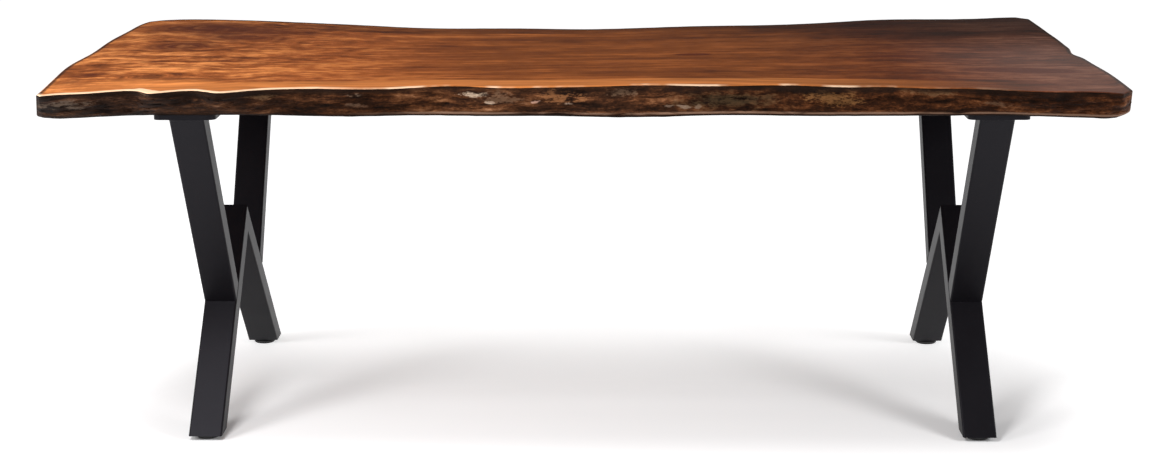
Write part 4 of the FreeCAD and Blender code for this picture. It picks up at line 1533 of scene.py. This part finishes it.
class TABLE_OT_studs(bpy.types.Operator):
    """Turns the four levelling studs, with their threads and hexagon collars"""

    bl_idname = "table.studs"
    bl_label = "Levelling studs"

    def execute(self, context):
        steel = context.scene.table_steel
        tree = thread_tree()
        for side in SIDES:
            for end in ENDS:
                self.turn_stud(steel, tree, f"{side}_{end}")
        return {"FINISHED"}

    def turn_stud(self, steel, tree, foot):
        """One stud: pivot, collar and shank turned in one piece, with a thread wound on the shank."""
        node = f"foot_stud_{foot}"
        low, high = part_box(node)
        base_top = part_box(f"foot_base_{foot}")[1].z
        gap = 0.0003
        step = 0.0001
        bevel = 0.0005
        tip = 0.001
        collar_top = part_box(f"lower_bar_{foot}")[0].z - gap
        flats = steel.collar_flats
        pivot = 0.004
        radius = 0.0050
        core = radius - 2 * steel.thread_depth
        rings = (
            (low.z, pivot - bevel, 0.0),
            (low.z + bevel, pivot, 0.0),
            (base_top + gap - step, pivot, 0.0),
            (base_top + gap, flats * 0.48, 0.0),
            (base_top + gap + bevel, flats, flats),
            (collar_top - bevel, flats, flats),
            (collar_top, flats * 0.48, 0.0),
            (collar_top + step, core, 0.0),
            (high.z - tip, core, 0.0),
            (high.z, core - tip, 0.0),
        )
        # The thread starts just above the collar and stops short of the stud's tip
        height = high.z - collar_top - 2 * tip
        values = {
            "Radius": radius,
            "Depth": steel.thread_depth,
            "Turns": height / steel.thread_pitch,
            "Height": height,
            "Foot": collar_top + bevel,
            "Material": bpy.data.materials["zinc_plate"],
        }
        mesh = grow(tree, ringed_solid("stud", rings), values)
        middle = (low + high) / 2
        mesh.transform(Matrix.Translation((middle.x, middle.y, 0.0)))
        add_piece(f"levelling_stud_{foot}", mesh, f"foot_screw_{foot}", "zinc_steel", node)


class TABLE_OT_stage(bpy.types.Operator):
    """Sets the pale floor, the soft studio light and the camera"""

    bl_idname = "table.stage"
    bl_label = "Stage"

    def execute(self, context):
        stage = context.scene.table_stage
        self.lay_floor(stage)
        self.light_studio(context.scene, stage)
        self.set_camera(context.scene, stage)
        context.scene.view_settings.view_transform = "Standard"
        return {"FINISHED"}

    def lay_floor(self, stage):
        """A floor as white as the background, whose glow dims under the table so that the shadow shows."""
        half = stage.floor_size / 2
        corners = [(-half, -half, 0), (half, -half, 0), (half, half, 0), (-half, half, 0)]
        mesh = bpy.data.meshes.new("floor")
        mesh.from_pydata(corners, [], [(0, 1, 2, 3)])
        material = bpy.data.materials.new("pale_floor")
        material.use_nodes = True
        nodes = Nodes(material.node_tree)
        diffuse = nodes.add("ShaderNodeBsdfDiffuse", None, {"Color": stage.floor_colour})
        along, back, _ = nodes.split(nodes.place())
        aside = nodes.maths("ABSOLUTE", along)
        under = nodes.step(aside, stage.shade_length + stage.side_fade, stage.shade_length)
        under = under * nodes.step(back, stage.shade_front - stage.front_fade, stage.shade_front)
        under = under * nodes.step(back, stage.shade_rear + stage.rear_fade, stage.shade_rear)
        strength = under * (stage.near_glow - stage.far_glow) + stage.far_glow
        glow = nodes.add("ShaderNodeEmission", None, {"Strength": self.seen(nodes) * strength})
        both = nodes.add("ShaderNodeAddShader", None, {0: diffuse.outputs[0], 1: glow.outputs[0]})
        nodes.add("ShaderNodeOutputMaterial", None, {"Surface": both.outputs[0]})
        mesh.materials.append(material)
        floor = bpy.data.objects.new("floor", mesh)
        bpy.context.scene.collection.objects.link(floor)

    @staticmethod
    def seen(nodes):
        """1 for rays from the camera, direct or by a mirror or glass."""
        path = nodes.add("ShaderNodeLightPath")
        rays = [Wire(nodes, path.outputs[f"Is {kind} Ray"]) for kind in ("Camera", "Glossy", "Transmission")]
        return nodes.maths("MINIMUM", rays[0] + rays[1] + rays[2], 1.0)

    def light_studio(self, scene, stage):
        """Even light under a dimmer ceiling, a softbox in front on the left and one at each side."""
        world = bpy.data.worlds.new("studio")
        world.use_nodes = True
        nodes = Nodes(world.node_tree)
        rise = nodes.split(nodes.wire("ShaderNodeTexCoord", "Generated"))[2]
        camera = Wire(nodes, nodes.add("ShaderNodeLightPath").outputs["Is Camera Ray"])
        overhead = nodes.step(rise, 0.55, 0.80) * (1.0 - stage.ceiling) * (1.0 - camera)
        strength = self.seen(nodes) * (1.0 - stage.sky - overhead) + stage.sky
        white = nodes.add("ShaderNodeBackground", None, {"Color": (1.0, 1.0, 1.0), "Strength": strength})
        nodes.add("ShaderNodeOutputWorld", None, {"Surface": white.outputs[0]})
        scene.world = world
        for name, power, size, place, target in SOFTBOXES:
            self.hang_softbox(name, getattr(stage, power), size, place, target)

    @staticmethod
    def hang_softbox(name, power, size, place, target):
        lamp = bpy.data.lights.new(name, "AREA")
        lamp.shape, lamp.size, lamp.energy = "SQUARE", size, power
        softbox = bpy.data.objects.new(name, lamp)
        softbox.location = place
        softbox.rotation_euler = (Vector(target) - Vector(place)).to_track_quat("-Z", "Y").to_euler()
        bpy.context.scene.collection.objects.link(softbox)

    def set_camera(self, scene, stage):
        """A camera at its eye, turned by its yaw, pitch and roll."""
        lens = bpy.data.cameras.new("camera")
        lens.lens, lens.sensor_width = stage.lens, 36.0
        camera = bpy.data.objects.new("camera", lens)
        pitch, yaw, roll = stage.pitch, stage.yaw, stage.roll
        ahead = Vector((math.sin(yaw) * math.cos(pitch), math.cos(yaw) * math.cos(pitch), -math.sin(pitch)))
        level = Vector((math.cos(yaw), -math.sin(yaw), 0.0))
        above = level.cross(ahead)
        right = level * math.cos(roll) + above * math.sin(roll)
        up = above * math.cos(roll) - level * math.sin(roll)
        turn = Matrix((right, up, -ahead)).transposed()
        camera.matrix_world = Matrix.Translation(stage.eye) @ turn.to_4x4()
        scene.collection.objects.link(camera)
        scene.camera = camera


class TABLE_PT_pieces(bpy.types.Panel):
    """Lists the table's pieces and their sizes"""

    bl_label = "Live edge table"
    bl_idname = "TABLE_PT_pieces"
    bl_space_type = "VIEW_3D"
    bl_region_type = "UI"
    bl_category = "Table"

    def draw(self, context):
        for operator in OPERATORS:
            self.layout.operator(operator.bl_idname)
        for group in SETTINGS:
            box = self.layout.box()
            box.label(text=SETTINGS[group].__doc__)
            for name in SETTINGS[group].__annotations__:
                box.prop(getattr(context.scene, group), name)


OPERATORS = (
    TABLE_OT_slab,
    TABLE_OT_flakes,
    TABLE_OT_steel,
    TABLE_OT_welds,
    TABLE_OT_bolts,
    TABLE_OT_studs,
    TABLE_OT_stage,
)
SETTINGS = {
    "table_slab": SlabShape,
    "table_wood": WoodColours,
    "table_bark": BarkColours,
    "table_steel": SteelFinish,
    "table_stage": StageSettings,
}


def register():
    for cls in (*SETTINGS.values(), *OPERATORS, TABLE_PT_pieces):
        bpy.utils.register_class(cls)
    for name, group in SETTINGS.items():
        setattr(bpy.types.Scene, name, PointerProperty(type=group))


def unregister():
    for name in SETTINGS:
        delattr(bpy.types.Scene, name)
    for cls in (TABLE_PT_pieces, *reversed(OPERATORS), *reversed(SETTINGS.values())):
        bpy.utils.unregister_class(cls)


def main():
    register()
    for operator in OPERATORS:
        group, name = operator.bl_idname.split(".")
        getattr(getattr(bpy.ops, group), name)()


if __name__ == "__main__":
    main()
